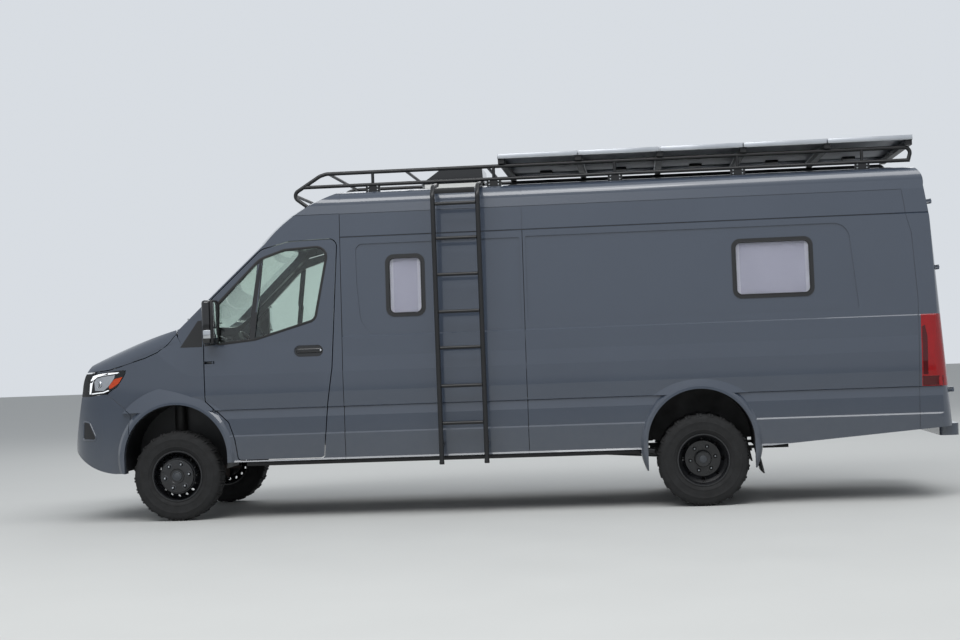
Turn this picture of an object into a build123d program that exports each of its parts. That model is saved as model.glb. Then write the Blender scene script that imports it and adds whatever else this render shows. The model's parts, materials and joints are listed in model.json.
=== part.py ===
from build123d import *
from math import atan, degrees, sqrt
import os

os.makedirs("parts", exist_ok=True)

# Camper van: long high-roof panel van with twin rear wheels, roof rack, solar panels and side ladder.
# Millimetres. Origin on the ground under the middle of the overall length, -X is the front, -Y the driver's side.
# A station is a distance behind the front axle.

# Whole vehicle
overall_length = 7367.0
front_overhang = 1004.0
wheelbase = 4325.0
front_axle = front_overhang - overall_length / 2
rear_axle = front_axle + wheelbase
turn_station = 3000.0

# Walls and gaps
wall = 46.0
panel_gap = 8.0
rest_gap = 0.3
bearing_gap = 0.3
glass_depth = 9.0
glass_thickness = 5.0
recess_depth = 9.0
seam_width = 5.0
seam_depth = 6.0
handle_depth = 14.0

# Body stations and heights
crease_z = 905.0
cab_end = 1424.0
slider_end = 2928.0
sill_z = 474.0
belt_z = 1474.0
gutter_z = 2291.0
roof_seam_z = 2487.0
roof_edge_z = 2668.0
roof_top_z = 2725.0
roof_edge_half = 800.0
load_floor_end = 6190.0
floor_top_z = 790.0
cab_floor_z = 778.0
floor_bottom_z = 730.0
cabin_half = 905.0

# Outer side of the load space from sill to roof seam: half width, height
side_rows = [
    (1006, sill_z),
    (998, 488),
    (1012, 684),
    (1002, 696),
    (1001, 830),
    (990, 900),
    (1005, 908),
    (1012, 1030),
    (1012, 1190),
    (1001, 1310),
    (994, belt_z - 4),
    (984, belt_z + 4),
    (930, gutter_z - 6),
    (922, gutter_z),
    (928, gutter_z + 6),
    (913, roof_seam_z),
    (900, 2560),
]
# Outer side of the cab: the same pressed lines low down, smooth above them
cab_rows = side_rows[:9] + [(1003, 1310), (990, 1450), (928, gutter_z), (913, roof_seam_z), (900, 2560)]

# Cab profile on the centreline: station, height, from the chin to the roof
chin_rows = [(-560, 404), (-870, 478), (-1004, 600)]
nose_rows = [(-906, 1110), (-880, 1215), (-822, 1308)]
bonnet_rows = [(-480, 1458), (-92, 1586)]
screen_rows = [(262, 1930), (610, 2264)]
brow_rows = [(850, 2492), (1234, 2676), (1500, 2738)]

# Cab in plan from the door's front edge to the nose: station, half width
wing_rows = [(300, 1012), (-160, 992), (-620, 918), (-850, 780), (-978, 520)]

# Wheels and arches
tyre_radius = 372.0
tyre_width = 218.0
bead_radius = 203.0
rim_wall = 9.0
front_wheel_y = 858.0
steer_y = 800.0
twin_outer_y = 880.0
twin_inner_y = 628.0
arch_station = 10.0
arch_z = 530.0
arch_radius = 433.0
rear_arch_station = wheelbase - 13
rear_arch_z = 520.0
rear_arch_radius = 427.0
flare_half = 1022.0
flare_foot = 996.0
flare_reach = 150.0
flare_edge = 60.0
housing_wall = 12.0
twin_housing_y = 500.0
grille_slats = [935, 1000, 1065, 1130, 1195]
grille_ribs = [-300, 0, 300]

# Doors, bonnet and lid
door_hinge_station = 341.0
door_hinge_y = 1000.0
door_hinge_heights = [1050, 1300]
hinge_pin_radius = 4.0
hinge_eye_radius = 7.0
hinge_leaf = 12.0
# Room round the front door's hinge for its lower front edge: radius, height
hinge_relief_rows = [(17.5, 890), (17.5, 922), (21, 932), (39, 951), (72, 985), (0, 985), (0, 890)]
bonnet_hinge_station = 50.0
bonnet_hinge_z = 1600.0
bonnet_radius = 3115.0
rear_door_half = 893.0
rear_door_bottom = 640.0
rear_door_top = 2545.0
rear_door_split = 6.0
rear_hinge_y = 905.0
rear_hinge_foot = 6341.0
rear_hinge_lean = 0.0769
rear_hinge_heights = [870, 1850, 2380]
mirror_half = 1172.5
mirror_inner = 1036.0

# Axles, steering and chassis
stub_radius = 30.0
axle_stub_radius = 42.0
steer_offset = front_wheel_y - steer_y
twin_middle_y = (twin_outer_y + twin_inner_y) / 2
arm_rise = 150.0
ball_pin_radius = 10.0
steering_y = 430.0
cross_members = [-880, 1100, 1400, 2900, 3500, 5100, 6110]
jack_stations = [900, 3300]
# Exhaust hangers: station, inner side and top
exhaust_hangers = [(1900, 300, 560), (3600, 270, 530)]
rail_inner = 380.0
rail_outer = 450.0
rail_bottom_z = 590.0

# Rack, panels and ladder
rack_y = 750.0
rack_tube = 16.0
rack_low_z = 2731.0
rack_high_z = 2836.0
rack_rear = 6100.0
rack_low_tube = rack_tube - 1
# Rack side in side view, from its front foot to the rear: station, height, and the bend at each inner corner
rack_rows = [
    (1142, 2560), (1000, 2668), (1245, 2820), (1300, rack_high_z), (rack_rear, rack_high_z),
    (rack_rear - 30, rack_low_z),
]
rack_bends = [45, 100, 100, 45]
rack_feet = [1690, 2700, 3700, 4700, 5700]
rack_bars = [1320, 1965, 2650]
# The bar across the front corners: station, height
front_bar = (1034, 2666)
panel_edges = [2736, 3402, 4072, 4750, 5427, 6107]
panel_half = 800.0
panel_bottom_z = 2892.0
panel_height = 38.0
ladder_y = 1120.0
ladder_rails = [2225, 2590]
ladder_tube = 19.0
rung_heights = [2515, 2235, 1942, 1642, 1350, 1042, 742]
ladder_foot_z = 412.0
ladder_bends = [60, 60]


def at(station):
    """Frame X of a station."""
    return front_axle + station


def save(name, *solids):
    """One node, written as one file."""
    export_step(Compound(children=list(solids)) if len(solids) > 1 else solids[0], f"parts/{name}.step")


def block(x0, x1, y0, y1, z0, z1):
    """A box between two corners."""
    return Pos((x0 + x1) / 2, (y0 + y1) / 2, (z0 + z1) / 2) * Box(x1 - x0, y1 - y0, z1 - z0)


def flip(shape):
    """The other side's copy."""
    return mirror(shape, about=Plane.XZ)


def side_face(rows):
    """A closed outline seen from the side: station, height and, where it is rounded, a corner radius."""
    points = [(at(row[0]), row[1]) for row in rows]
    radii = [row[2] if len(row) > 2 else 0 for row in rows]
    with BuildSketch(Plane.XZ) as sk:
        with BuildLine():
            FilletPolyline(*points, radius=radii, close=True) if any(radii) else Polyline(*points, close=True)
        make_face()
    return sk.sketch


def side_prism(rows, y0, y1):
    """That outline run across the body."""
    return extrude(Pos(0, y0, 0) * side_face(rows), y1 - y0, dir=(0, 1, 0))


def cross(station, z, radius, y0, y1):
    """A cylinder across the body."""
    return Pos(at(station), (y0 + y1) / 2, z) * Rot(90, 0, 0) * Cylinder(radius, y1 - y0)


def rod(start, end, radius):
    """A round bar between two points."""
    a, b = Vector(*start), Vector(*end)
    return Plane(origin=(a + b) / 2, z_dir=b - a) * Cylinder(radius, (b - a).length)


def tube(points, radius, bends):
    """A round bar bent along several points, with one bend radius for each corner."""
    path = FilletPolyline(*points, radius=bends)
    return sweep(Plane(origin=path @ 0, z_dir=path % 0) * Circle(radius), path)


def section(rows, top_half, top_z, crown_z):
    """Closed face across the body from rows of half width and height, under a rounded and crowned roof."""
    last_half, last_z = rows[-1]
    shoulder = ((last_half + top_half) / 2 + 22, (last_z + top_z) / 2 + 18)
    left = [(-half, z) for half, z in reversed(rows)]
    with BuildSketch(Plane.YZ) as sk:
        with BuildLine():
            Polyline(left[-1], *rows)
            ThreePointArc((last_half, last_z), shoulder, (top_half, top_z))
            ThreePointArc((top_half, top_z), (0, crown_z), (-top_half, top_z))
            ThreePointArc((-top_half, top_z), (-shoulder[0], shoulder[1]), left[0])
            Polyline(*left)
        make_face()
    return sk.sketch


def along(face, x0, x1):
    """A face across the body, run lengthways."""
    return Pos(x0, 0, 0) * extrude(face, x1 - x0, dir=(1, 0, 0))


def hollow_rows(inset, bottom_z):
    """The plain inner side of the body: half width, height."""
    return [(side_rows[0][0] - inset, bottom_z), (1012 - inset, 1190), (984 - inset, belt_z), (900 - inset, 2560)]


def cab_mass(inset):
    """The cab as a solid, drawn in by an inset: nose, bonnet and screen turned about an upright axis."""
    low = chin_rows[0][1] - (200 if inset else 0)
    chin, nose, bonnet, screen, brow = (
        [(station + inset, z - inset) for station, z in rows]
        for rows in (chin_rows, nose_rows, bonnet_rows, screen_rows, brow_rows)
    )
    with BuildSketch(Plane.XZ) as sk:
        with BuildLine():
            Line((turn_station, low), (chin[0][0], low))
            if inset:
                Line((chin[0][0], low), chin[0])
            ThreePointArc(*chin)
            Line(chin[2], nose[0])
            ThreePointArc(*nose)
            ThreePointArc(nose[2], *bonnet)
            ThreePointArc(bonnet[1], *screen)
            ThreePointArc(screen[1], *brow[:2])
            Polyline(brow[1], brow[2], (turn_station, brow[2][1]), (turn_station, low))
        make_face()
    turned = revolve(Pos(-turn_station, 0, 0) * sk.sketch, Axis.Z, 360)
    rows = hollow_rows(inset, low) if inset else [(cab_rows[0][0], low)] + cab_rows
    across = section(rows, roof_edge_half - inset, roof_edge_z - inset, roof_top_z - inset)
    edge = 1060 - inset
    with BuildSketch(Plane.XY) as plan:
        with BuildLine():
            Polyline((at(cab_end), 0), (at(cab_end), -edge), (at(300), -edge), (at(300), -1012 + inset))
            ThreePointArc(*[(at(station), inset - half) for station, half in wing_rows[:3]])
            ThreePointArc(*[(at(station), inset - half) for station, half in wing_rows[2:]])
            tip_station, tip_half = wing_rows[-1]
            Polyline((at(tip_station), inset - tip_half), (at(-1150), -300), (at(-1150), 0), (at(cab_end), 0))
        make_face()
        mirror(about=Plane.XZ)
    mass = (Pos(at(turn_station), 0, 0) * turned) & along(across, at(-1150), at(cab_end)) & extrude(plan.sketch, 3000)
    return mass - shoulder_tool(inset) - flip(shoulder_tool(inset))


def shoulder_tool(inset):
    """What is cut away to round the bonnet's shoulder, from the foot of the screen pillar to the lamp."""
    radius = 150.0
    edge, top = 992 - inset, 1635 - inset
    with BuildSketch(Plane.YZ) as sk:
        with BuildLine():
            Line((-edge - 300, top - radius), (-edge, top - radius))
            middle = radius * (1 - sqrt(0.5))
            ThreePointArc((-edge, top - radius), (-edge + middle, top - middle), (-edge + radius, top))
            side = -edge - 300
            Polyline((-edge + radius, top), (-edge + radius, top + 500), (side, top + 500), (side, top - radius))
        make_face()
    return extrude(Pos(at(60), 0, 0) * sk.sketch, 1260, dir=Vector(-1, 0.165, -0.385).normalized())


def load_mass(inset, end_inset):
    """The load space as a solid, drawn in by an inset, its tail leaning forward."""
    rows = hollow_rows(inset, sill_z - 200) if inset else side_rows
    body = along(section(rows, roof_edge_half - inset, roof_edge_z - inset, roof_top_z - inset), at(cab_end), at(6400))
    low = rows[0][1]
    with BuildSketch(Plane.XZ) as sk:
        with BuildLine():
            shift = [(at(s - end_inset), z) for s, z in ((6301, 600), (6275, 1362), (6153, 2512))]
            head = [(at(s - end_inset), z - inset) for s, z in ((6122, 2640), (6030, 2700))]
            Polyline((at(cab_end), low), (shift[0][0], low), shift[0])
            ThreePointArc(*shift)
            ThreePointArc(shift[2], *head)
            Polyline(head[1], (at(5700), roof_top_z + 20), (at(cab_end), roof_top_z + 20), (at(cab_end), low))
        make_face()
    side = extrude(Pos(0, -1200, 0) * sk.sketch, 2400, dir=(0, 1, 0))
    if inset:
        return body & side
    with BuildSketch(Plane.XY) as plan:
        with BuildLine():
            Polyline((at(5500), 0), (at(5500), -1100), (at(6190), -1100), (at(6190), -1014))
            ThreePointArc((at(6190), -1014), (at(6285), -978), (at(6318), -885))
            ThreePointArc((at(6318), -885), (at(6330), -450), (at(6334), 0))
            Line((at(6334), 0), (at(5500), 0))
        make_face()
        mirror(about=Plane.XZ)
    tail = Pos(0, 0, 400) * extrude(plan.sketch, 2500, dir=Vector(-0.0667, 0, 1).normalized())
    return body & side & (tail + block(at(cab_end) - 1, at(5600), -1100, 1100, 300, 2900))


def inward(mass, depth):
    """The left half of a mass, moved in from its side by a depth."""
    return Pos(0, depth, 0) * mass


# Masses that the panels are cut from
cab_skin = cab_mass(0)
cab_hollow = cab_mass(wall)
cab_shell = cab_skin - cab_hollow
door_post_station = 255.0
load_skin = load_mass(0, 0)
load_hollow = load_mass(wall, wall + 60)
load_shell = load_skin - load_hollow
left_half = block(-4000, 4000, -1300, 0, 0, 3200)
cab_left = cab_shell & left_half
cab_skin_left = cab_skin & left_half
load_left = load_shell & left_half
load_skin_left = load_skin & left_half

# Side view outlines: station, height, corner radius
front_flare_rows = [
    (-900, 1400), (-900, 500), (-693, 470), (-568, 441), (-423, 404), (0, 404), (0, sill_z), (900, sill_z), (900, 1400),
]
door_rows = [
    (534, 492, 30),
    (512, 660, 0),
    (462, 806, 0),
    (275, 983, 0),
    (271, 1628, 0),
    (346, 1823, 60),
    (767, 2214, 120),
    (1000, 2270, 0),
    (1396, 2280, 60),
    (1367, 1814, 0),
    (1332, 1221, 0),
    (1281, 902, 200),
    (1244, 492, 30),
]
window_rows = [
    (395, 1458, 20),
    (700, 1487, 0),
    (1195, 1628, 60),
    (1314, 2214, 70),
    (960, 2196, 0),
    (760, 2130, 200),
    (290, 1668, 40),
]
wing_rear_rows = [(300, 960), (490, 806), (545, 660), (560, 600)]
wing_seam_rows = [(-575, 1068), (-375, 907), (-375, 300), (-380, 300), (-380, 905), (-579, 1064)]
door_handle_rows = [(1024, 1317, 47), (1265, 1317, 47), (1265, 1415, 47), (1024, 1415, 47)]
bonnet_seam = [(-760, 1252), (-572, 1270), (-399, 1314), (-226, 1362), (-122, 1404), (-35, 1468), (36, 1548)]
lamp_rows = [
    (-1100, 1240), (-682, 1240), (-401, 1262, 15), (-425, 1213), (-488, 1129), (-589, 1074), (-760, 1052),
    (-1100, 1052),
]


def grown(rows, gap):
    """The same outline, larger all round by a gap, run across the left side."""
    face = offset(side_face(rows), gap, kind=Kind.INTERSECTION)
    return extrude(Pos(0, -1300, 0) * face, 1300, dir=(0, 1, 0))


def skin_layer(skin_left, outer, inner):
    """The left side's skin between two depths."""
    return inward(skin_left, outer) - inward(skin_left, inner)


rear_arch_front = at(rear_arch_station - rear_arch_radius)
rear_arch_rear = at(rear_arch_station + rear_arch_radius)
arch_opening = (
    cross(arch_station, arch_z, arch_radius, -1300, -560)
    + block(at(arch_station - arch_radius), at(arch_station + arch_radius), -1300, -560, 200, arch_z)
)
rear_arch_opening = (
    cross(rear_arch_station, rear_arch_z, rear_arch_radius, -1300, -twin_housing_y)
    + block(rear_arch_front, rear_arch_rear, -1300, -twin_housing_y, 200, rear_arch_z)
)


def flare(station, z, radius, reach):
    """A pressed flare round a wheel arch, as a solid of revolution before the arch is cut out of it."""
    with BuildSketch(Plane.XZ) as sk:
        with BuildLine():
            Polyline(
                (0, -930), (0, -flare_half), (radius + 20, -flare_half - 2), (radius + 36, -flare_half + 1),
                (radius + reach, -flare_foot), (radius + reach + 10, -930), (0, -930),
            )
        make_face()
    ring = revolve(sk.sketch, Axis.Z, 360)
    return Pos(at(station), 0, z) * Rot(90, 0, 0) * mirror(ring, about=Plane.XY)


def stepped_flare(station, z, radius):
    """The flare is broad above the crease and narrow below it."""
    broad = flare(station, z, radius, flare_reach) & block(-4000, 4000, -1300, 0, crease_z, 3000)
    narrow = flare(station, z, radius, flare_edge) & block(-4000, 4000, -1300, 0, 0, crease_z)
    return broad + narrow


window_prism = side_prism(window_rows, -1300, 0)
door_opening = grown(door_rows, panel_gap)
front_flare = stepped_flare(arch_station, arch_z, arch_radius) - arch_opening - cab_hollow
front_flare &= side_prism(front_flare_rows, -1300, 0)
rear_flare = stepped_flare(rear_arch_station, rear_arch_z, rear_arch_radius) - rear_arch_opening - load_hollow
cab_wall = skin_layer(cab_skin_left, 0, wall)
load_wall = skin_layer(load_skin_left, 0, wall)


def groove(rows, skin_left):
    """A shallow cut along a thin outline in the left side's skin, as between two pressed panels."""
    return side_prism(rows, -1300, 0) - inward(skin_left, seam_depth)


def upright_groove(station, bottom, top, skin_left):
    """Such a groove straight up the side at a station."""
    x = station - seam_width / 2
    return groove([(x, bottom), (x + seam_width, bottom), (x + seam_width, top), (x, top)], skin_left)


def roof_groove(station, skin):
    """Such a groove across the roof."""
    x = at(station) - seam_width / 2
    return block(x, x + seam_width, -1300, 1300, roof_seam_z, 3000) - Pos(0, 0, -seam_depth) * skin


def front_doors():
    """Doors with their window openings and divider bars, and the glass set back in them."""
    slab = cab_wall & block(-4000, 4000, -1300, -866, 0, 3200)
    flared = front_flare & block(-4000, 4000, -1300, -940, crease_z, 1300)
    door = (slab + flared) & side_prism(door_rows, -1300, 0)
    door -= window_prism
    hinge_x = at(door_hinge_station)
    for z in door_hinge_heights:
        slot_half = hinge_leaf / 2 + 5
        slot_y = -door_hinge_y - hinge_eye_radius - 2
        door -= block(hinge_x - 90, hinge_x + 16, slot_y, -900, z - slot_half, z + slot_half)
        door += Pos(hinge_x, -door_hinge_y, z) * Cylinder(hinge_pin_radius, 2 * slot_half + 8)
    door -= side_prism(door_handle_rows, -1300, 0) - inward(cab_skin_left, handle_depth)
    bar = side_prism([(748, 2200), (782, 2200), (690, 1440), (655, 1440)], -1300, 0)
    door += skin_layer(cab_skin_left, 0, glass_depth) & window_prism & bar
    glass = skin_layer(cab_skin_left, glass_depth, glass_depth + glass_thickness) & window_prism
    save("front_door_left", door)
    save("front_door_right", flip(door))
    save("door_glass_left", glass)
    save("door_glass_right", flip(glass))


def front_end():
    """Bonnet, wings, bumper, grille and lamps, all cut from the cab's wall."""
    above_seam = [(-1100, 1252)] + bonnet_seam + [(40, 1700), (-1100, 1700)]
    hinge_side = Pos(at(turn_station), 0, 1500) * Cylinder(bonnet_radius, 1400)
    bonnet = (cab_shell & side_prism(above_seam, -1300, 1300)) - hinge_side
    save("bonnet", bonnet)

    below_seam = [(station, z - panel_gap) for station, z in reversed(bonnet_seam[1:])]
    wing_outline = (
        [(-575, 1068), (-488, 1129), (-425, 1213), (-401, 1262), (-682, 1240), (-682, 1252)]
        + list(reversed(below_seam)) + [(98, 1430), (300, 1430)] 
        + wing_rear_rows + [(560, sill_z), (0, sill_z), (0, 380), (-375, 380), (-375, 907)]
    )
    side = cab_left & block(-4000, 4000, -1300, -700, 0, 3200)
    wing = ((side + front_flare) & side_prism(wing_outline, -1300, 0)) - arch_opening - door_opening
    lamp_gap = grown(lamp_rows, seam_width) - inward(cab_skin_left, 2 * seam_depth)
    relief = revolve(Plane.XZ * make_face(Polyline(*hinge_relief_rows, close=True)), Axis.Z, 360)
    wing -= lamp_gap + Pos(at(door_hinge_station), -door_hinge_y, 0) * relief
    save("front_wings", wing, flip(wing))

    bumper_rows = [(-1100, 1052), (-760, 1052), (-575, 1068), (-375, 907), (-375, 300), (-1100, 300)]
    nose = (cab_shell + front_flare + flip(front_flare)) & side_prism(bumper_rows, -1300, 1300)
    grille_outline = [(-516, 1252), (516, 1252), (502, 1052), (428, 880), (-428, 880), (-502, 1052)]
    intake_outline = [(-520, 770), (520, 770), (470, 610), (-470, 610)]
    grille_opening = front_prism(grille_outline, 40, 0)
    bumper = nose - grille_opening - front_prism(intake_outline, 40, 0) - arch_opening - flip(arch_opening)
    wing_seam = groove(wing_seam_rows, cab_skin_left)
    for cut in (lamp_gap, wing_seam):
        bumper = bumper - cut - flip(cut)
    save("front_bumper", bumper)

    upper_nose = (cab_shell & block(at(-1100), at(-600), -516, 516, 800, 1245))
    ring = upper_nose & (grille_opening - front_prism(grille_outline, 30, -34))
    bars = (Pos(14, 0, 0) * cab_skin) - (Pos(38, 0, 0) * cab_skin)
    bars = bars & front_prism(grille_outline, 30, -30) & block(at(-1100), at(-700), -516, 516, 800, 1245)
    slats = [block(at(-1100), at(-700), -520, 520, z - 9, z + 9) for z in grille_slats]
    ribs = [block(at(-1100), at(-700), y - 5, y + 5, 800, 1245) for y in grille_ribs]
    grille = ring
    for slat in slats + ribs:
        grille += bars & slat
    for y in (-360, 330):
        grille += block(at(-856), at(-832), y, y + 30, 1240, 1252 - rest_gap)
    save("grille", grille & block(at(-1100), at(-600), -520, 520, 800, 1252 - rest_gap))

    lamp = cab_left & side_prism(lamp_rows, -1300, -517)
    save("headlamps", lamp, flip(lamp))


def front_prism(rows, radius, gap):
    """A closed outline seen from the front, run through the nose or the screen."""
    with BuildSketch(Plane.YZ) as sk:
        with BuildLine():
            FilletPolyline(*rows, radius=radius, close=True)
        make_face()
    face = offset(sk.sketch, gap, kind=Kind.INTERSECTION) if gap else sk.sketch
    return Pos(at(-1150), 0, 0) * extrude(face, 2100, dir=(1, 0, 0))


def door_hinge_leaves():
    """Body halves of the left front door's hinges: leaves that reach from the post round to the pins."""
    x, y = at(door_hinge_station), -door_hinge_y
    leaves = []
    for z in door_hinge_heights:
        low, high = z - hinge_leaf / 2, z + hinge_leaf / 2
        leaf = block(at(door_post_station), x + 7, -925, -cabin_half - 2, low, high)
        leaf += block(x - 7, x + 7, y, -920, low, high)
        leaf += Pos(x, y, z) * Cylinder(hinge_eye_radius, hinge_leaf)
        leaves.append(leaf - Pos(x, y, z) * Cylinder(hinge_pin_radius + bearing_gap, 40))
    return leaves[0] + leaves[1]


def cab_frame():
    """Screen pillars, header, roof, centre pillars and sills round the cab, with the screen in its opening."""
    behind = bonnet_seam[1:] + [
        (98, 1430), (300, 1430), *wing_rear_rows, (560, sill_z), (cab_end, sill_z), (cab_end, 2800), (-572, 2800),
    ]
    behind_bonnet = Pos(at(turn_station), 0, 1500) * Cylinder(bonnet_radius - panel_gap - 1, 3200)
    upper = cab_shell & side_prism(behind, -1300, 1300) & behind_bonnet
    screen = front_prism([(-862, 1614), (862, 1614), (790, 2292), (-790, 2292)], 90, 0)
    screen_zone = block(at(-250), at(1000), -1300, 1300, 1500, 2500)
    frame = upper - (screen & screen_zone)
    opening = door_opening & block(-4000, 4000, -1300, -858, 0, 3200)
    frame = frame - opening - flip(opening)
    line = (roof_seam_z - seam_width / 2, roof_seam_z + seam_width / 2)
    for cut in (
        upright_groove(cab_end, 300, roof_seam_z + 1, cab_skin_left),
        groove([(1010, line[0]), (cab_end, line[0]), (cab_end, line[1]), (1010, line[1])], cab_skin_left),
    ):
        frame = frame - cut - flip(cut)
    frame -= roof_groove(cab_end, cab_skin)
    post = block(at(150), at(door_post_station), -1000, -cabin_half, 985, 1580) & cab_hollow
    frame += post + door_hinge_leaves() + flip(post + door_hinge_leaves())
    save("cab_frame", frame)
    save("windscreen", ((Pos(8, 0, 0) * cab_skin) - (Pos(18, 0, 0) * cab_skin)) & screen & screen_zone)


# Load space: recesses, windows and sliding door, side view
recess_rows = [
    [(1549, 2230, 60), (1555, 1900, 0), (1581, 1594, 120), (1672, belt_z + 2, 90), (2905, belt_z + 2, 20), (2905, 2230, 20)],
    [(2952, 1540, 12), (5606, 1540, 20), (5592, 1703, 0), (5545, 2236, 130), (2952, 2236, 12)],
]
window_boxes = [(1795, 2120, 1620, 2133), (4612, 5260, 1657, 2140)]
window_flange = 16.0
window_frame_width = 34.0
window_frame_proud = 6.0
slider_rows = [(1446, 512, 40), (2908, 512, 40), (2908, 2262, 70), (1446, 2262, 70)]
slider_handle_rows = [(1490, 1297, 47), (1731, 1297, 47), (1731, 1395, 47), (1490, 1395, 47)]
# Where the side and roof meet the tail, from the sill up: station, height
rear_seam_rows = [(6040, 300), (6040, 542), (6070, 1592), (6044, 2129), (6005, 2288), (5982, roof_seam_z), (5964, 2623)]
tail_rise_rows = [(4868, sill_z), (6400, 592), (6400, 200), (4868, 200)]
tail_lamp_rows = [(6068, 905), (6400, 905), (6400, 1478), (6080, 1478)]
tail_x = overall_length / 2
# Pressed fields of the left rear door, seen from behind: across, height
rear_recess_rows = [
    [(-800, 1540), (-90, 1540), (-90, 2400), (-740, 2400)],
    [(-800, 780), (-90, 780), (-90, 1420), (-800, 1420)],
]


def rounded(window, inset, radius):
    """A window's outline, drawn in by an inset, run across the left side."""
    x0, x1, z0, z1 = window
    rows = [(x0, z0), (x1, z0), (x1, z1), (x0, z1)]
    signs = [(1, 1), (-1, 1), (-1, -1), (1, -1)]
    return side_prism([(x + sx * inset, z + sz * inset, radius) for (x, z), (sx, sz) in zip(rows, signs)], -1300, -600)


def body_sides():
    """Left side, right side with its sliding door, and the living area's windows in both."""
    zone = side_prism([(cab_end, 300)] + rear_seam_rows[:-1] + [(cab_end, roof_seam_z)], -1300, 0)
    side = (load_left + (rear_flare & load_left_zone)) & zone
    side = side - side_prism(tail_rise_rows, -1300, 0) - rear_arch_opening - housing_seat
    for station in (cab_end, slider_end):
        side -= upright_groove(station, 300, roof_seam_z, load_skin_left)
    side -= groove([(x - seam_width, z) for x, z in rear_seam_rows] + rear_seam_rows[::-1], load_skin_left)
    seam_top = roof_seam_z - seam_width
    side -= groove([(cab_end, seam_top), (6400, seam_top), (6400, 2600), (cab_end, 2600)], load_skin_left)
    for rows in recess_rows:
        side -= side_prism(rows, -1300, 0) - inward(load_skin_left, recess_depth)
    sliding_door = side & side_prism(slider_rows, -1300, 0)
    sliding_door -= side_prism(slider_handle_rows, -1300, 0) - inward(load_skin_left, handle_depth)
    frames, panes = [], []
    for window in window_boxes:
        side -= rounded(window, window_flange, 56)
        sliding_door -= rounded(window, window_flange, 56)
        flange = rounded(window, 0, 70) & skin_layer(load_skin_left, recess_depth - window_frame_proud, recess_depth)
        liner = rounded(window, window_flange, 56) & skin_layer(load_skin_left, recess_depth - 1, wall)
        opening = rounded(window, window_frame_width, 42)
        frames.append(flange + liner - opening)
        panes.append(opening & skin_layer(load_skin_left, recess_depth, recess_depth + glass_thickness))
    save("side_panel_left", side)
    outer_gap = grown(slider_rows, panel_gap) - inward(load_skin_left, wall / 2)
    save("side_panel_right", flip(side - side_prism(slider_rows, -1300, 0) - outer_gap))
    save("sliding_door_right", flip(sliding_door))
    save("window_frames", *frames, *[flip(frame) for frame in frames])
    save("window_panes", *panes, *[flip(pane) for pane in panes])


load_left_zone = block(at(cab_end), at(rear_seam_rows[0][0]), -1300, -940, 300, 1300)
housing_seat = cross(rear_arch_station, rear_arch_z, rear_arch_radius + housing_wall, -968, -twin_housing_y)


def roof():
    """Roof skin over the load space, with the seam in its middle."""
    outline = [(cab_end, roof_seam_z)] + rear_seam_rows[-2:] + [(rear_seam_rows[-1][0], 3000), (cab_end, 3000)]
    skin = load_shell & side_prism(outline, -1300, 1300)
    for station in (cab_end, slider_end):
        skin -= roof_groove(station, load_skin)
    save("roof", skin)


def rear_hinge(z):
    """One hinge of the left rear door: the body's bracket with its eye, and the door's strap with its pin."""
    x = at(rear_hinge_foot - rear_hinge_lean * (z - rear_door_bottom))
    y = -rear_hinge_y
    tilt = Rot(0, -degrees(atan(rear_hinge_lean)), 0)
    leaf = hinge_leaf
    body_half = block(-70, 0, -9, 5, -leaf / 2, leaf / 2) + Cylinder(hinge_eye_radius + 2, leaf)
    body_half -= Cylinder(hinge_pin_radius + bearing_gap, 40)
    door_half = Cylinder(hinge_pin_radius, leaf + 24)
    for side in (-1, 1):
        middle = side * (leaf / 2 + 6.5)
        door_half += block(-9, 5, -8, 60, middle - 6, middle + 6)
        door_half += block(-75, 5, 24, 60, middle - 6, middle + 6)
    place = Pos(x, y, z) * tilt
    bracket = place * body_half
    strap = (place * door_half) - Pos(-wall, 0, 0) * load_skin
    return bracket, strap


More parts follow.
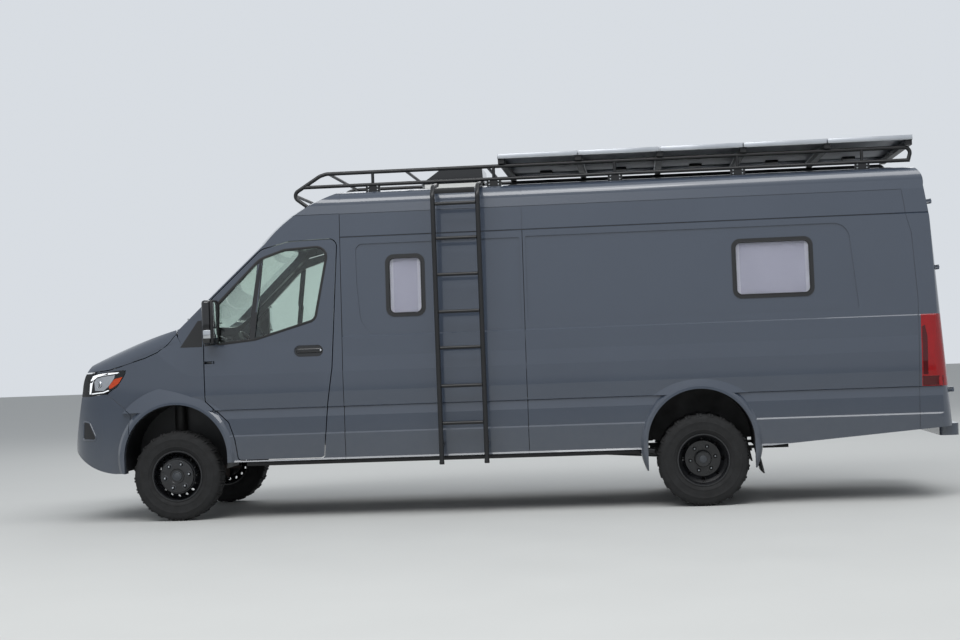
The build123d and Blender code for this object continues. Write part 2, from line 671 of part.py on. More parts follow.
def tail():
    """Corner posts, header and sill at the tail, with rear doors, lamps and bumper."""
    behind = rear_seam_rows + [(rear_seam_rows[-1][0], 3000), (6400, 3000), (6400, 300)]
    zone = load_shell & side_prism(behind, -1300, 1300)
    outer, inner = -rear_door_half, -rear_door_split
    corners = [(outer, rear_door_bottom), (outer, rear_door_top), (inner, rear_door_top), (inner, rear_door_bottom)]
    with BuildSketch(Plane.YZ) as sk:
        with BuildLine():
            FilletPolyline(*corners, radius=[30, 130, 8, 8], close=True)
        make_face()
    run = Pos(at(5900), 0, 0)
    door_slab = load_skin - Pos(-wall, 0, 0) * load_skin
    door = (run * extrude(sk.sketch, 600, dir=(1, 0, 0))) & door_slab
    for rows in rear_recess_rows:
        with BuildSketch(Plane.YZ) as recess:
            with BuildLine():
                FilletPolyline(*rows, radius=60, close=True)
            make_face()
        door -= (run * extrude(recess.sketch, 600, dir=(1, 0, 0))) - Pos(-recess_depth, 0, 0) * load_skin
    with BuildSketch(Plane.YZ) as both:
        with BuildLine():
            half = rear_door_half + panel_gap
            low, high = rear_door_bottom - panel_gap, rear_door_top + panel_gap
            corners = [(-half, low), (half, low), (half, high), (-half, high)]
            FilletPolyline(*corners, radius=[36, 36, 136, 136], close=True)
        make_face()
    with BuildSketch(Plane.YZ) as through:
        with BuildLine():
            FilletPolyline((-840, 690), (840, 690), (820, 2480), (-820, 2480), radius=100, close=True)
        make_face()
    rebate = (run * extrude(both.sketch, 700, dir=(1, 0, 0))) - Pos(-wall - panel_gap, 0, 0) * load_skin
    hole = run * extrude(through.sketch, 700, dir=(1, 0, 0))
    lamp_zone = side_prism(tail_lamp_rows, -1300, -rear_door_half - panel_gap - 5)
    bumper_zone = side_prism([(5900, 300), (6400, 300), (6400, 905), (5900, 905)], -1300, 1300)
    ring = zone - rebate - hole - side_prism(tail_rise_rows, -1300, 1300)
    post = ring - lamp_zone - flip(lamp_zone) - bumper_zone
    bumper = ring & bumper_zone
    for z in rear_hinge_heights:
        bracket, strap = rear_hinge(z)
        if z < 905:
            bumper += (bracket + flip(bracket)) - load_hollow
        else:
            post += (bracket + flip(bracket)) - load_hollow
        door += strap
    save("rear_frame", post)
    lamp = zone & lamp_zone
    save("tail_lamps", lamp, flip(lamp))
    save("rear_door_left", door)
    save("rear_door_right", flip(door))
    step = fillet(block(at(6210), tail_x, -905, 905, 505, 600).edges().filter_by(Axis.Z), 55)
    save("rear_bumper", bumper + step)


def turned(rows):
    """A solid of revolution about a wheel's axis from rows of radius and distance along the axis."""
    with BuildSketch(Plane.XZ) as sk:
        with BuildLine():
            Polyline(*rows, close=True)
        make_face()
    return revolve(sk.sketch, Axis.Z, 360)


def on_axle(shape, x, y, side):
    """A turned shape laid along a wheel's axis: its own +Z points out of the side, -1 left or 1 right."""
    return Pos(x, side * y, tyre_radius) * Rot(-90 * side, 0, 0) * shape


def tyre():
    """Tyre about its own axis, with rounded shoulders and a bead that sits round the rim."""
    half = tyre_width / 2
    with BuildSketch(Plane.XZ) as sk:
        with BuildLine():
            seat = bead_radius + rest_gap
            Polyline((bead_radius + 14, -88), (seat, -88), (seat, 88), (bead_radius + 14, 88))
            ThreePointArc((bead_radius + 14, 88), (278, half), (342, 98))
            ThreePointArc((342, 98), (363, 90), (tyre_radius, 74))
            Line((tyre_radius, 74), (tyre_radius, -74))
            ThreePointArc((tyre_radius, -74), (363, -90), (342, -98))
            ThreePointArc((342, -98), (278, -half), (bead_radius + 14, -88))
        make_face()
    return revolve(sk.sketch, Axis.Z, 360)


def rim_barrel():
    """Rim without its disc: flanges and well."""
    return turned([
        (bead_radius + 8, -96), (bead_radius + 8, -90), (bead_radius, -89), (bead_radius, 89), (bead_radius + 8, 90),
        (bead_radius + 8, 96), (bead_radius - 2, 96), (bead_radius - rim_wall, 84), (bead_radius - rim_wall, -84),
        (bead_radius - 2, -96),
    ])


def hand_holes(radius, count, size):
    """A ring of holes along the wheel's axis."""
    return [Rot(0, 0, 360 / count * i) * Pos(radius, 0, 0) * Cylinder(size, 400) for i in range(count)]


def front_rim():
    """Front rim: disc near the outer edge, proud hub ring, brake disc and bearing hub."""
    bore = stub_radius + bearing_gap
    hub = turned([(bore, 20 - steer_offset), (62, 20 - steer_offset), (62, 92), (0, 92), (0, 84), (bore, 84)])
    inside = bead_radius - rim_wall + 1
    disc = turned([(62, 66), (140, 66), (168, 20), (inside, 8), (inside, 18), (175, 30), (146, 78), (62, 78)])
    cover = turned([(0, 86), (58, 86), (134, 80), (140, 86), (136, 96), (80, 101), (62, 101), (56, 96), (0, 96)])
    back = 20 - steer_offset
    brake = turned([(60, back), (132, back), (132, back + 22), (60, back + 22)])
    shape = rim_barrel() + hub + disc + cover + brake
    for hole in hand_holes(163, 16, 11):
        shape -= hole & Pos(0, 0, 50) * Cylinder(185, 90)
    return shape


def twin_rims():
    """Rear pair of rims bolted face to face, about an axis origin midway between the two."""
    bore = axle_stub_radius + bearing_gap
    reach = (twin_outer_y - twin_inner_y) / 2
    shape = Pos(0, 0, reach) * rim_barrel() + Pos(0, 0, -reach) * rim_barrel()
    inside = bead_radius - rim_wall + 1
    outer_dish = turned([(58, 6), (150, 6), (178, 40), (inside, 60), (inside, 70), (172, 52), (144, 18), (58, 18)])
    inner_dish = mirror(outer_dish, about=Plane.XY)
    plate = turned([(58, -7), (146, -7), (146, 7), (58, 7)])
    hub = turned([(bore, -150), (70, -150), (70, 60), (62, 104), (0, 104), (0, 92), (bore, 92)])
    cap = Pos(0, 0, 112) * extrude(RegularPolygon(60, 6), 16, both=True)
    drum = turned([(60, -150), (158, -150), (158, -126), (60, -126)])
    shape = shape + outer_dish + inner_dish + plate + hub + drum + cap
    for hole in hand_holes(160, 8, 16):
        shape -= hole & Cylinder(190, 180)
    return shape


def wheels():
    """Tyres and rims: single at the front, twin at the rear."""
    front, rear, tyre_shape = front_rim(), twin_rims(), tyre()
    for name, side in (("left", -1), ("right", 1)):
        save(f"front_tyre_{name}", on_axle(tyre_shape, front_axle, front_wheel_y, side))
        save(f"front_rim_{name}", on_axle(front, front_axle, front_wheel_y, side))
        outer = on_axle(tyre_shape, rear_axle, twin_outer_y, side)
        save(f"rear_tyres_{name}", outer, on_axle(tyre_shape, rear_axle, twin_inner_y, side))
        save(f"rear_rims_{name}", on_axle(rear, rear_axle, twin_middle_y, side))


def knuckles():
    """Steering knuckles: upright, stub axle for the wheel, ball pins and steering arm."""
    x, z = front_axle, tyre_radius
    upright = block(x - 30, x + 30, -steer_y - 18, -steer_y + 22, z - arm_rise + 14, z + arm_rise - 14)
    stub = Pos(x, -steer_y - 50, z) * Rot(90, 0, 0) * Cylinder(stub_radius, 110)
    flange = Pos(x, -steer_y - 5, z) * Rot(90, 0, 0) * Cylinder(70, 26)
    steering_arm = block(x + 25, x + 130, -steer_y - 5, -steer_y + 17, z - 60, z - 36)
    pins = Pos(x, -steer_y, z) * Cylinder(ball_pin_radius, 2 * arm_rise + 14)
    knuckle = upright + stub + flange + steering_arm + pins
    save("knuckle_left", knuckle)
    save("knuckle_right", flip(knuckle))


def front_suspension():
    """Subframe, wishbones, spring struts and the driven axle's housing."""
    x, z = front_axle, tyre_radius
    shapes = block(x - 60, x + 60, -rail_outer, rail_outer, 300, 360)
    shapes += block(x - 60, x + 60, -rail_outer, -rail_inner, 350, rail_bottom_z)
    shapes += block(x - 60, x + 60, rail_inner, rail_outer, 350, rail_bottom_z)
    arm = rod((x, -rail_outer + 20, 330), (x, -steer_y + 40, z - arm_rise), 20)
    arm += Pos(x, -steer_y, z - arm_rise) * (Cylinder(24, 22) - Cylinder(ball_pin_radius + bearing_gap, 40))
    arm += block(x - 14, x + 14, -steer_y + 18, -steer_y + 60, z - arm_rise - 11, z - arm_rise + 11)
    upper = rod((x, -rail_outer + 20, 545), (x, -steer_y + 50, z + arm_rise), 16)
    upper += Pos(x, -steer_y, z + arm_rise) * (Cylinder(24, 22) - Cylinder(ball_pin_radius + bearing_gap, 40))
    upper += block(x - 14, x + 14, -steer_y + 18, -steer_y + 60, z + arm_rise - 11, z + arm_rise + 11)
    strut = rod((x - 46, -600, 268), (x - 46, -600, 985), 20) + rod((x - 46, -600, 560), (x - 46, -600, 940), 48)
    strut += block(x - 60, x + 10, -625, -575, 268, 300)
    tower = block(x - 120, x + 56, -1000, -530, 985, 1000) & inward(cab_hollow, rest_gap)
    shaft = rod((x, 0, 425), (x, -steer_y + 90, z), 22)
    side = arm + upper + strut + tower + shaft
    shapes += side + flip(side) + Pos(x - 30, -190, 425) * Sphere(100)
    save("front_suspension", shapes)


def rear_suspension():
    """Driven rear beam axle with its differential, stubs for the twin wheels, leaf springs and dampers."""
    x, z = rear_axle, tyre_radius
    beam = rod((x, -540, z), (x, 540, z), 52) + Pos(x, 0, z) * Sphere(150)
    beam += rod((x - 230, 0, z), (x, 0, z), 60)
    for side in (-1, 1):
        beam += rod((x, side * 500, z), (x, side * (twin_middle_y + 60), z), axle_stub_radius)
    for side in (-1, 1):
        y = side * 415
        spring = block(x - 700, x + 700, y - 35, y + 35, z + 50, z + 72)
        spring += block(x - 420, x + 420, y - 35, y + 35, z + 30, z + 50)
        for end in (-1, 1):
            spring += block(x + end * 700 - 22, x + end * 700 + 22, y - 30, y + 30, z + 50, rail_bottom_z)
        beam += spring
    save("rear_axle", beam)


def chassis():
    """Two long rails under the floor with their cross members."""
    rails = block(at(-880), at(6170), -rail_outer, -rail_inner, rail_bottom_z, floor_bottom_z)
    for station in jack_stations:
        rails += block(at(station - 60), at(station + 60), -rail_outer, -rail_inner, rail_bottom_z - 8, rail_bottom_z)
    rails += flip(rails)
    for station in cross_members:
        rails += block(at(station), at(station + 60), -rail_outer, rail_outer, rail_bottom_z + 60, floor_bottom_z)
    save("chassis_rails", rails)


def floor_pan():
    """Load floor and cab floor with the toe board, bulkhead and the housings over the twin wheels."""
    cab = side_prism([
        (62, 985), (452, 985), (452, floor_bottom_z), (cab_end, floor_bottom_z), (cab_end, cab_floor_z),
        (480, cab_floor_z), (480, 1011), (90, 1011), (90, 1100), (62, 1100),
    ], -cabin_half, cabin_half)
    bulkhead = block(at(62), at(90), -1000, 1000, 1011, 1500) & cab_hollow
    load = block(at(cab_end), at(load_floor_end), -1000, 1000, floor_bottom_z, floor_top_z) & load_hollow
    inner = -twin_housing_y
    shell = cross(rear_arch_station, rear_arch_z, rear_arch_radius + housing_wall, -963, inner + housing_wall)
    shell &= block(-4000, 4000, -1200, 0, rear_arch_z, 3000)
    space = cross(rear_arch_station, rear_arch_z, rear_arch_radius, -970, inner)
    space += block(rear_arch_front, rear_arch_rear, -970, inner, 300, rear_arch_z)
    floor = (load + shell + flip(shell)) - space - flip(space)
    save("floor", floor + cab + bulkhead)


def powertrain():
    """Engine as one plain block on its mounts, radiator, gearbox, transfer box and shafts."""
    engine = block(at(-640), at(20), -280, 280, 640, 1160)
    engine += block(at(-420), at(-320), -rail_inner, rail_inner, 640, 700)
    engine += block(at(20), at(760), -150, 150, 525, 715)
    engine += block(at(760), at(1040), -290, 130, 480, 700)
    shaft = rod((at(1030), 0, 590), (at(wheelbase - 240), 0, tyre_radius + 4), 38)
    front_shaft = rod((at(780), -230, 560), (at(84), -190, 440), 26)
    radiator = block(at(-816), at(-760), -rail_inner + 20, rail_inner - 20, 630, 1150)
    radiator += block(at(-816), at(-790), -rail_inner, rail_inner, 630, 700)
    save("powertrain", engine + shaft + front_shaft, radiator)


def tank_and_exhaust():
    """Fuel tank left of the shaft, silencer and pipe right of it."""
    tank = block(at(1500), at(2800), -rail_inner + rest_gap, -80, 420, floor_bottom_z)
    save("fuel_tank", fillet(tank.edges().filter_by(Axis.X), 40))
    silencer = Pos(at(2150), 230, 520) * Rot(0, 90, 0) * Cylinder(100, 760)
    silencer += rod((at(1060), 230, 560), (at(1800), 230, 520), 34)
    silencer += rod((at(2500), 230, 520), (at(3900), 300, 520), 34)
    for station, y, top in exhaust_hangers:
        x = at(station)
        silencer += block(x, x + 30, y, rail_inner, 500, top)
        silencer += block(x, x + 30, rail_inner - 20, rail_inner, 500, rail_bottom_z + 40)
    save("exhaust", silencer)


def cab_inside():
    """Dashboard with the steering column, steering wheel and two seats."""
    dash_rows = [(90, 1080), (330, 1080), (420, 1200), (440, 1330), (330, 1420), (180, 1430), (90, 1380)]
    dash = side_prism(dash_rows, -cabin_half + 5, cabin_half - 5)
    column_foot = (at(400), -steering_y, 1290)
    centre = Vector(at(560), -steering_y, 1400)
    direction = Vector(*[centre.X - column_foot[0], 0, centre.Z - column_foot[2]]).normalized()
    column_top = centre - direction * (35 + rest_gap)
    dash += rod(column_foot, (column_top.X, column_top.Y, column_top.Z), 34)
    save("dashboard", dash)
    plane = Plane(origin=centre, z_dir=direction, x_dir=(0, 1, 0))
    wheel = Torus(178, 15) + Pos(0, 0, -20) * Cylinder(62, 30)
    for angle in (0, 180, 270):
        wheel += Rot(0, 0, angle) * Pos(110, 0, -10) * Box(120, 34, 16)
    save("steering_wheel", plane * wheel)
    seats = []
    for side in (-1, 1):
        y = side * 470
        base = block(at(900), at(1330), y - 230, y + 230, cab_floor_z, 1040)
        cushion = fillet(block(at(800), at(1330), y - 250, y + 250, 1040, 1180).edges(), 45)
        back = side_prism([(1230, 1100, 30), (1340, 1100, 30), (1418, 1700, 30), (1320, 1700, 30)], y - 240, y + 240)
        rest = fillet(block(at(1345), at(1415), y - 130, y + 130, 1690, 1890).edges(), 30)
        seats.append(base + cushion + back + rest)
    save("seats", *seats)


def mirrors():
    """Door mirrors: tall housing on a short arm off the door's front corner."""
    housing = block(at(300), at(398), -mirror_half, -mirror_inner, 1478, 1812)
    housing = fillet(housing.edges().filter_by(Axis.X), 38)
    housing = fillet(housing.edges().filter_by(Axis.Z), 16)
    arm = block(at(300), at(384), -mirror_inner - 14, -940, 1454, 1545) - cab_skin_left
    mirror_left = housing + arm
    save("mirror_left", mirror_left)
    save("mirror_right", flip(mirror_left))


def roof_gear():
    """Rack, solar panels, vent with its raised lid and the ladder on the driver's side."""
    side = tube([(at(station), -rack_y, z) for station, z in rack_rows], rack_tube, rack_bends)
    side += low_rail
    for station in rack_feet:
        foot = block(at(station - 60), at(station + 60), -rack_y - 7, -rack_y + 7, 2660, rack_low_z + 12)
        side += foot - load_skin
        side += rod((at(station), -rack_y, rack_low_z), (at(station), -rack_y, rack_high_z), rack_tube - 3)
    save("rack_sides", side - cab_skin, flip(side - cab_skin))
    bars = []
    for station, z in [front_bar] + [(station, rack_high_z) for station in rack_bars]:
        reach = rack_y - rack_tube - rest_gap
        bars.append(rod((at(station), -reach, z), (at(station), reach, z), rack_tube - 3))
    for station in panel_edges:
        x = at(min(max(station, panel_edges[0] + 30), panel_edges[-1] - 30))
        bearer_bottom = rack_high_z + rack_tube + rest_gap
        bars.append(block(x - 25, x + 25, -panel_half + 20, panel_half - 20, bearer_bottom, panel_bottom_z))
    save("rack_bars", *bars)
    panels = []
    for front, rear in zip(panel_edges, panel_edges[1:]):
        panel_top = panel_bottom_z + panel_height
        panels.append(block(at(front + 3), at(rear - 3), -panel_half, panel_half, panel_bottom_z, panel_top))
    save("solar_panels", *panels)
    base = block(at(2060), at(2540), -210, 210, 2600, 2762) + block(at(2034), at(2070), -150, 150, 2600, 2768 - rest_gap)
    base -= load_skin
    save("vent_base", base - block(at(2085), at(2515), -185, 185, 2700, 2770))
    lid = side_prism([(2030, 2768, 0), (2224, 2903, 60), (2559, 2896, 25), (2566, 2776, 0)], -215, 215)
    lid -= side_prism([(2046, 2760, 0), (2230, 2890, 50), (2546, 2884, 15), (2552, 2760, 0)], -202, 202)
    save("vent_lid", lid)


low_rail = rod((at(1108), -rack_y, rack_low_z), (at(rack_rear - 18), -rack_y, rack_low_z), rack_low_tube)


def ladder():
    """Side ladder: two rails that hook over the rack's low rail, and rungs between them."""
    rails = []
    for station in ladder_rails:
        x = at(station)
        hook = [(-ladder_y, ladder_foot_z), (-ladder_y, 2590), (-ladder_y + 70, 2660)]
        hook.append((-rack_y - rack_tube - rest_gap, 2700))
        rail = tube([(x, y, z) for y, z in hook], ladder_tube, ladder_bends)
        rail -= Pos(0, -rack_y, rack_low_z) * Rot(0, 90, 0) * Cylinder(rack_low_tube + rest_gap, overall_length)
        rail += block(x - 14, x + 14, -ladder_y, -1000, 560, 588) - inward(load_skin_left, 0)
        rails.append(rail)
    save("ladder_rails", *rails)
    inner = [at(ladder_rails[0]) + ladder_tube + rest_gap, at(ladder_rails[1]) - ladder_tube - rest_gap]
    save("ladder_rungs", *[rod((inner[0], -ladder_y, z), (inner[1], -ladder_y, z), 14) for z in rung_heights])


def mudflaps():
    """Flaps behind the rear wheels."""
    top = rear_arch_station + rear_arch_radius
    flap = side_prism([(top, rear_arch_z), (top + housing_wall, rear_arch_z), (top + 70, 250), (top + 58, 250)], -960, -twin_housing_y)
    save("mudflaps", flap, flip(flap))


front_doors()
front_end()
cab_frame()
body_sides()
roof()
tail()
wheels()
knuckles()
front_suspension()
rear_suspension()
chassis()
floor_pan()
powertrain()
tank_and_exhaust()
cab_inside()
mirrors()
roof_gear()
ladder()
mudflaps()
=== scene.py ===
import json
import math

import bpy
from mathutils import Matrix, Vector
from mathutils.bvhtree import BVHTree

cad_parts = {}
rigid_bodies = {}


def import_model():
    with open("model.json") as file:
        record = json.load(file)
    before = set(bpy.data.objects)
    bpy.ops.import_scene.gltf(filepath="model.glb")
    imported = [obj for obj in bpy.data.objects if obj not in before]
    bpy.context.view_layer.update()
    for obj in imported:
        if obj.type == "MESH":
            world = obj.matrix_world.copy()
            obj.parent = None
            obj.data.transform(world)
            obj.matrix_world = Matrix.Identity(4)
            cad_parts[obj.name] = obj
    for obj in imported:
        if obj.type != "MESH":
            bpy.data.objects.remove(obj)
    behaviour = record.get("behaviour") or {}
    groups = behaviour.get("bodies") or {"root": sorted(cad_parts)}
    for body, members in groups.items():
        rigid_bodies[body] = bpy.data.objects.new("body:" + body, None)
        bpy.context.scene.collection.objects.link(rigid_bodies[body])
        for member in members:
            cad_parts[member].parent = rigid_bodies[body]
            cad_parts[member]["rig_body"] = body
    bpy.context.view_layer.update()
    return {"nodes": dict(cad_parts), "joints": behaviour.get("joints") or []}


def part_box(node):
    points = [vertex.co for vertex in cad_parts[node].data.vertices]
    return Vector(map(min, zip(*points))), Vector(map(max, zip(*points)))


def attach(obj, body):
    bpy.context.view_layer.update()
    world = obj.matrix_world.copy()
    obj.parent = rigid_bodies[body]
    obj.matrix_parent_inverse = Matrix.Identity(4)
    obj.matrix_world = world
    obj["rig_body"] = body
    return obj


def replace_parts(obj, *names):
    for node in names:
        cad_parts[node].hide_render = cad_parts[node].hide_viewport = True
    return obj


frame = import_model()
cadNodes = frame["nodes"]
hinges = {joint["name"]: joint for joint in frame["joints"]}
frontAxle = Vector(hinges["steer_left"]["pos_m"])
rearAxle = Vector(hinges["rear_wheels_left_spin"]["pos_m"])
frontHub = Vector(hinges["front_wheel_left_spin"]["pos_m"])
print("frame loaded:", len(cadNodes), "solids")


# A station is a distance in millimetres behind the front axle
def at(station):
    return frontAxle.x + station / 1000


# Colours and nodes

def srgb(hexCode):
    parts = [int(hexCode[i:i + 2], 16) / 255 for i in (1, 3, 5)]
    return [part / 12.92 if part <= 0.04045 else ((part + 0.055) / 1.055) ** 2.4 for part in parts] + [1.0]


def addNode(tree, kind, inputs=None, **settings):
    node = tree.nodes.new("ShaderNode" + kind)
    for key, value in settings.items():
        setattr(node, key, value)
    for key, value in (inputs or {}).items():
        if isinstance(value, bpy.types.NodeSocket):
            tree.links.new(value, node.inputs[key])
        else:
            node.inputs[key].default_value = value
    return node


def startMaterial(name, **sockets):
    material = bpy.data.materials.new(name)
    material.use_nodes = True
    tree = material.node_tree
    for key, value in sockets.items():
        tree.nodes["Principled BSDF"].inputs[key.replace("_", " ")].default_value = value
    place = addNode(tree, "TexCoord").outputs["Object"]
    return material, tree, place


# Links an output to a socket of the material's shader
def feed(tree, socket, output):
    tree.links.new(output, tree.nodes["Principled BSDF"].inputs[socket])


def noise(tree, place, scale, detail, roughness=0.5):
    return addNode(tree, "TexNoise", {
        "Vector": place, "Scale": scale, "Detail": detail, "Roughness": roughness}).outputs["Fac"]


def blend(tree, factor, first, second):
    return addNode(tree, "MixRGB", {"Fac": factor, "Color1": first, "Color2": second}).outputs["Color"]


def product(tree, first, second):
    return addNode(tree, "Math", {0: first, 1: second}, operation="MULTIPLY").outputs["Value"]


# Takes a value's place in one span to the same place in another
def mapped(tree, value, span, result):
    return addNode(tree, "MapRange", {
        "Value": value, "From Min": span[0], "From Max": span[1], "To Min": result[0], "To Max": result[1],
    }).outputs["Result"]


# Relief in the shading, from heights between 0 and 1 that stand for a depth in millimetres
def emboss(tree, height, depth, strength):
    bump = addNode(tree, "Bump", {"Height": height, "Distance": depth / 1000, "Strength": strength})
    feed(tree, "Normal", bump.outputs["Normal"])


# A surface with a colour that drifts between two tones, a roughness that drifts with it, and a fine grain.
# patchMm and grainMm are the sizes of the drift and the grain, grainHeight is in millimetres
def surface(name, tones, roughness, patchMm, grainMm, grainHeight, **sockets):
    material, tree, place = startMaterial(name, **sockets)
    drift = noise(tree, place, 1000 / patchMm, 4.0, 0.6)
    feed(tree, "Base Color", blend(tree, drift, srgb(tones[0]), srgb(tones[1])))
    feed(tree, "Roughness", mapped(tree, drift, (0.3, 0.7), roughness))
    emboss(tree, noise(tree, place, 1000 / grainMm, 2.0), grainHeight, 0.6)
    return material


# Solid blue-grey two-stage car paint: deep gloss from the clear coat, faint orange peel, road dust low down.
# The dust is thickest below dustLow and ends at dustTop, two heights in metres
def clearcoatPaint():
    look = {
        "tones": ("#323b49", "#38414f"), "dust": "#77756e", "dustLow": 0.35, "dustTop": 0.95,
        "dustMost": 0.22, "peelMm": 5.0, "peelHeight": 0.02,
    }
    material, tree, place = startMaterial(
        "blueGreyClearcoatPaint", IOR=1.5, Coat_Weight=1.0, Coat_Roughness=0.035, Coat_IOR=1.5)
    colour = blend(tree, noise(tree, place, 1.6, 3.0), srgb(look["tones"][0]), srgb(look["tones"][1]))
    height = addNode(tree, "SeparateXYZ", {"Vector": place}).outputs["Z"]
    low = mapped(tree, height, (look["dustLow"], look["dustTop"]), (look["dustMost"], 0.0))
    dust = product(tree, low, noise(tree, place, 14.0, 6.0, 0.7))
    feed(tree, "Base Color", blend(tree, dust, colour, srgb(look["dust"])))
    feed(tree, "Roughness", mapped(tree, dust, (0.0, 0.2), (0.3, 0.6)))
    emboss(tree, noise(tree, place, 1000 / look["peelMm"], 1.0), look["peelHeight"], 0.5)
    return material


# Clear sheet, tinted in its depth. Cleaner than the paint, so only a trace of dust drifts over its roughness
def clearSheet(name, tint, roughness=(0.0, 0.02), ior=1.5, transmission=1.0):
    material, tree, place = startMaterial(
        name, Base_Color=srgb(tint), IOR=ior, Transmission_Weight=transmission)
    feed(tree, "Roughness", mapped(tree, noise(tree, place, 9.0, 3.0), (0.4, 0.8), roughness))
    return material


# Plain weave, drawn several times as coarse as real thread so that it shows.
# A wave's band is 314 mm wide at scale 1
def wovenCloth(name, tones, threadMm):
    material, tree, place = startMaterial(name, Sheen_Weight=0.3, Sheen_Roughness=0.5, Roughness=0.9)
    threads = []
    for direction in ("X", "Z"):
        wave = addNode(
            tree, "TexWave", {"Vector": place, "Scale": 314 / threadMm, "Distortion": 0.4},
            wave_type="BANDS", bands_direction=direction)
        threads.append(wave.outputs["Fac"])
    weave = product(tree, threads[0], threads[1])
    wear = product(tree, weave, noise(tree, place, 12.0, 4.0))
    feed(tree, "Base Color", blend(tree, wear, srgb(tones[0]), srgb(tones[1])))
    emboss(tree, weave, 0.6, 0.7)
    return material


# Monocrystalline cells under glass: near black, with the pale grid of the busbars
def solarCells():
    look = {"cells": ("#0b0f1c", "#0e1324"), "line": "#5b6472", "cellMm": 158.0, "lineMm": 2.2}
    material, tree, place = startMaterial(
        "monocrystallineCells", Coat_Weight=0.3, Coat_Roughness=0.05, IOR=1.3, Roughness=0.25)
    cell = look["cellMm"] / 1000
    grid = addNode(tree, "TexBrick", {
        "Vector": place, "Color1": srgb(look["cells"][0]), "Color2": srgb(look["cells"][1]),
        "Mortar": srgb(look["line"]), "Scale": 1.0, "Mortar Size": look["lineMm"] / 1000,
        "Brick Width": cell, "Row Height": cell,
    }, offset=0.0, squash=1.0)
    feed(tree, "Base Color", grid.outputs["Color"])
    return material


# Lamp strip that reads as lit white plastic by day
def lampStrip(name, tone, glow):
    material, tree, place = startMaterial(
        name, Base_Color=srgb(tone), Roughness=0.25, Emission_Color=srgb(tone), Emission_Strength=glow)
    ribs = addNode(tree, "TexWave", {"Vector": place, "Scale": 60.0}, bands_direction="X")
    emboss(tree, ribs.outputs["Fac"], 0.6, 0.4)
    return material


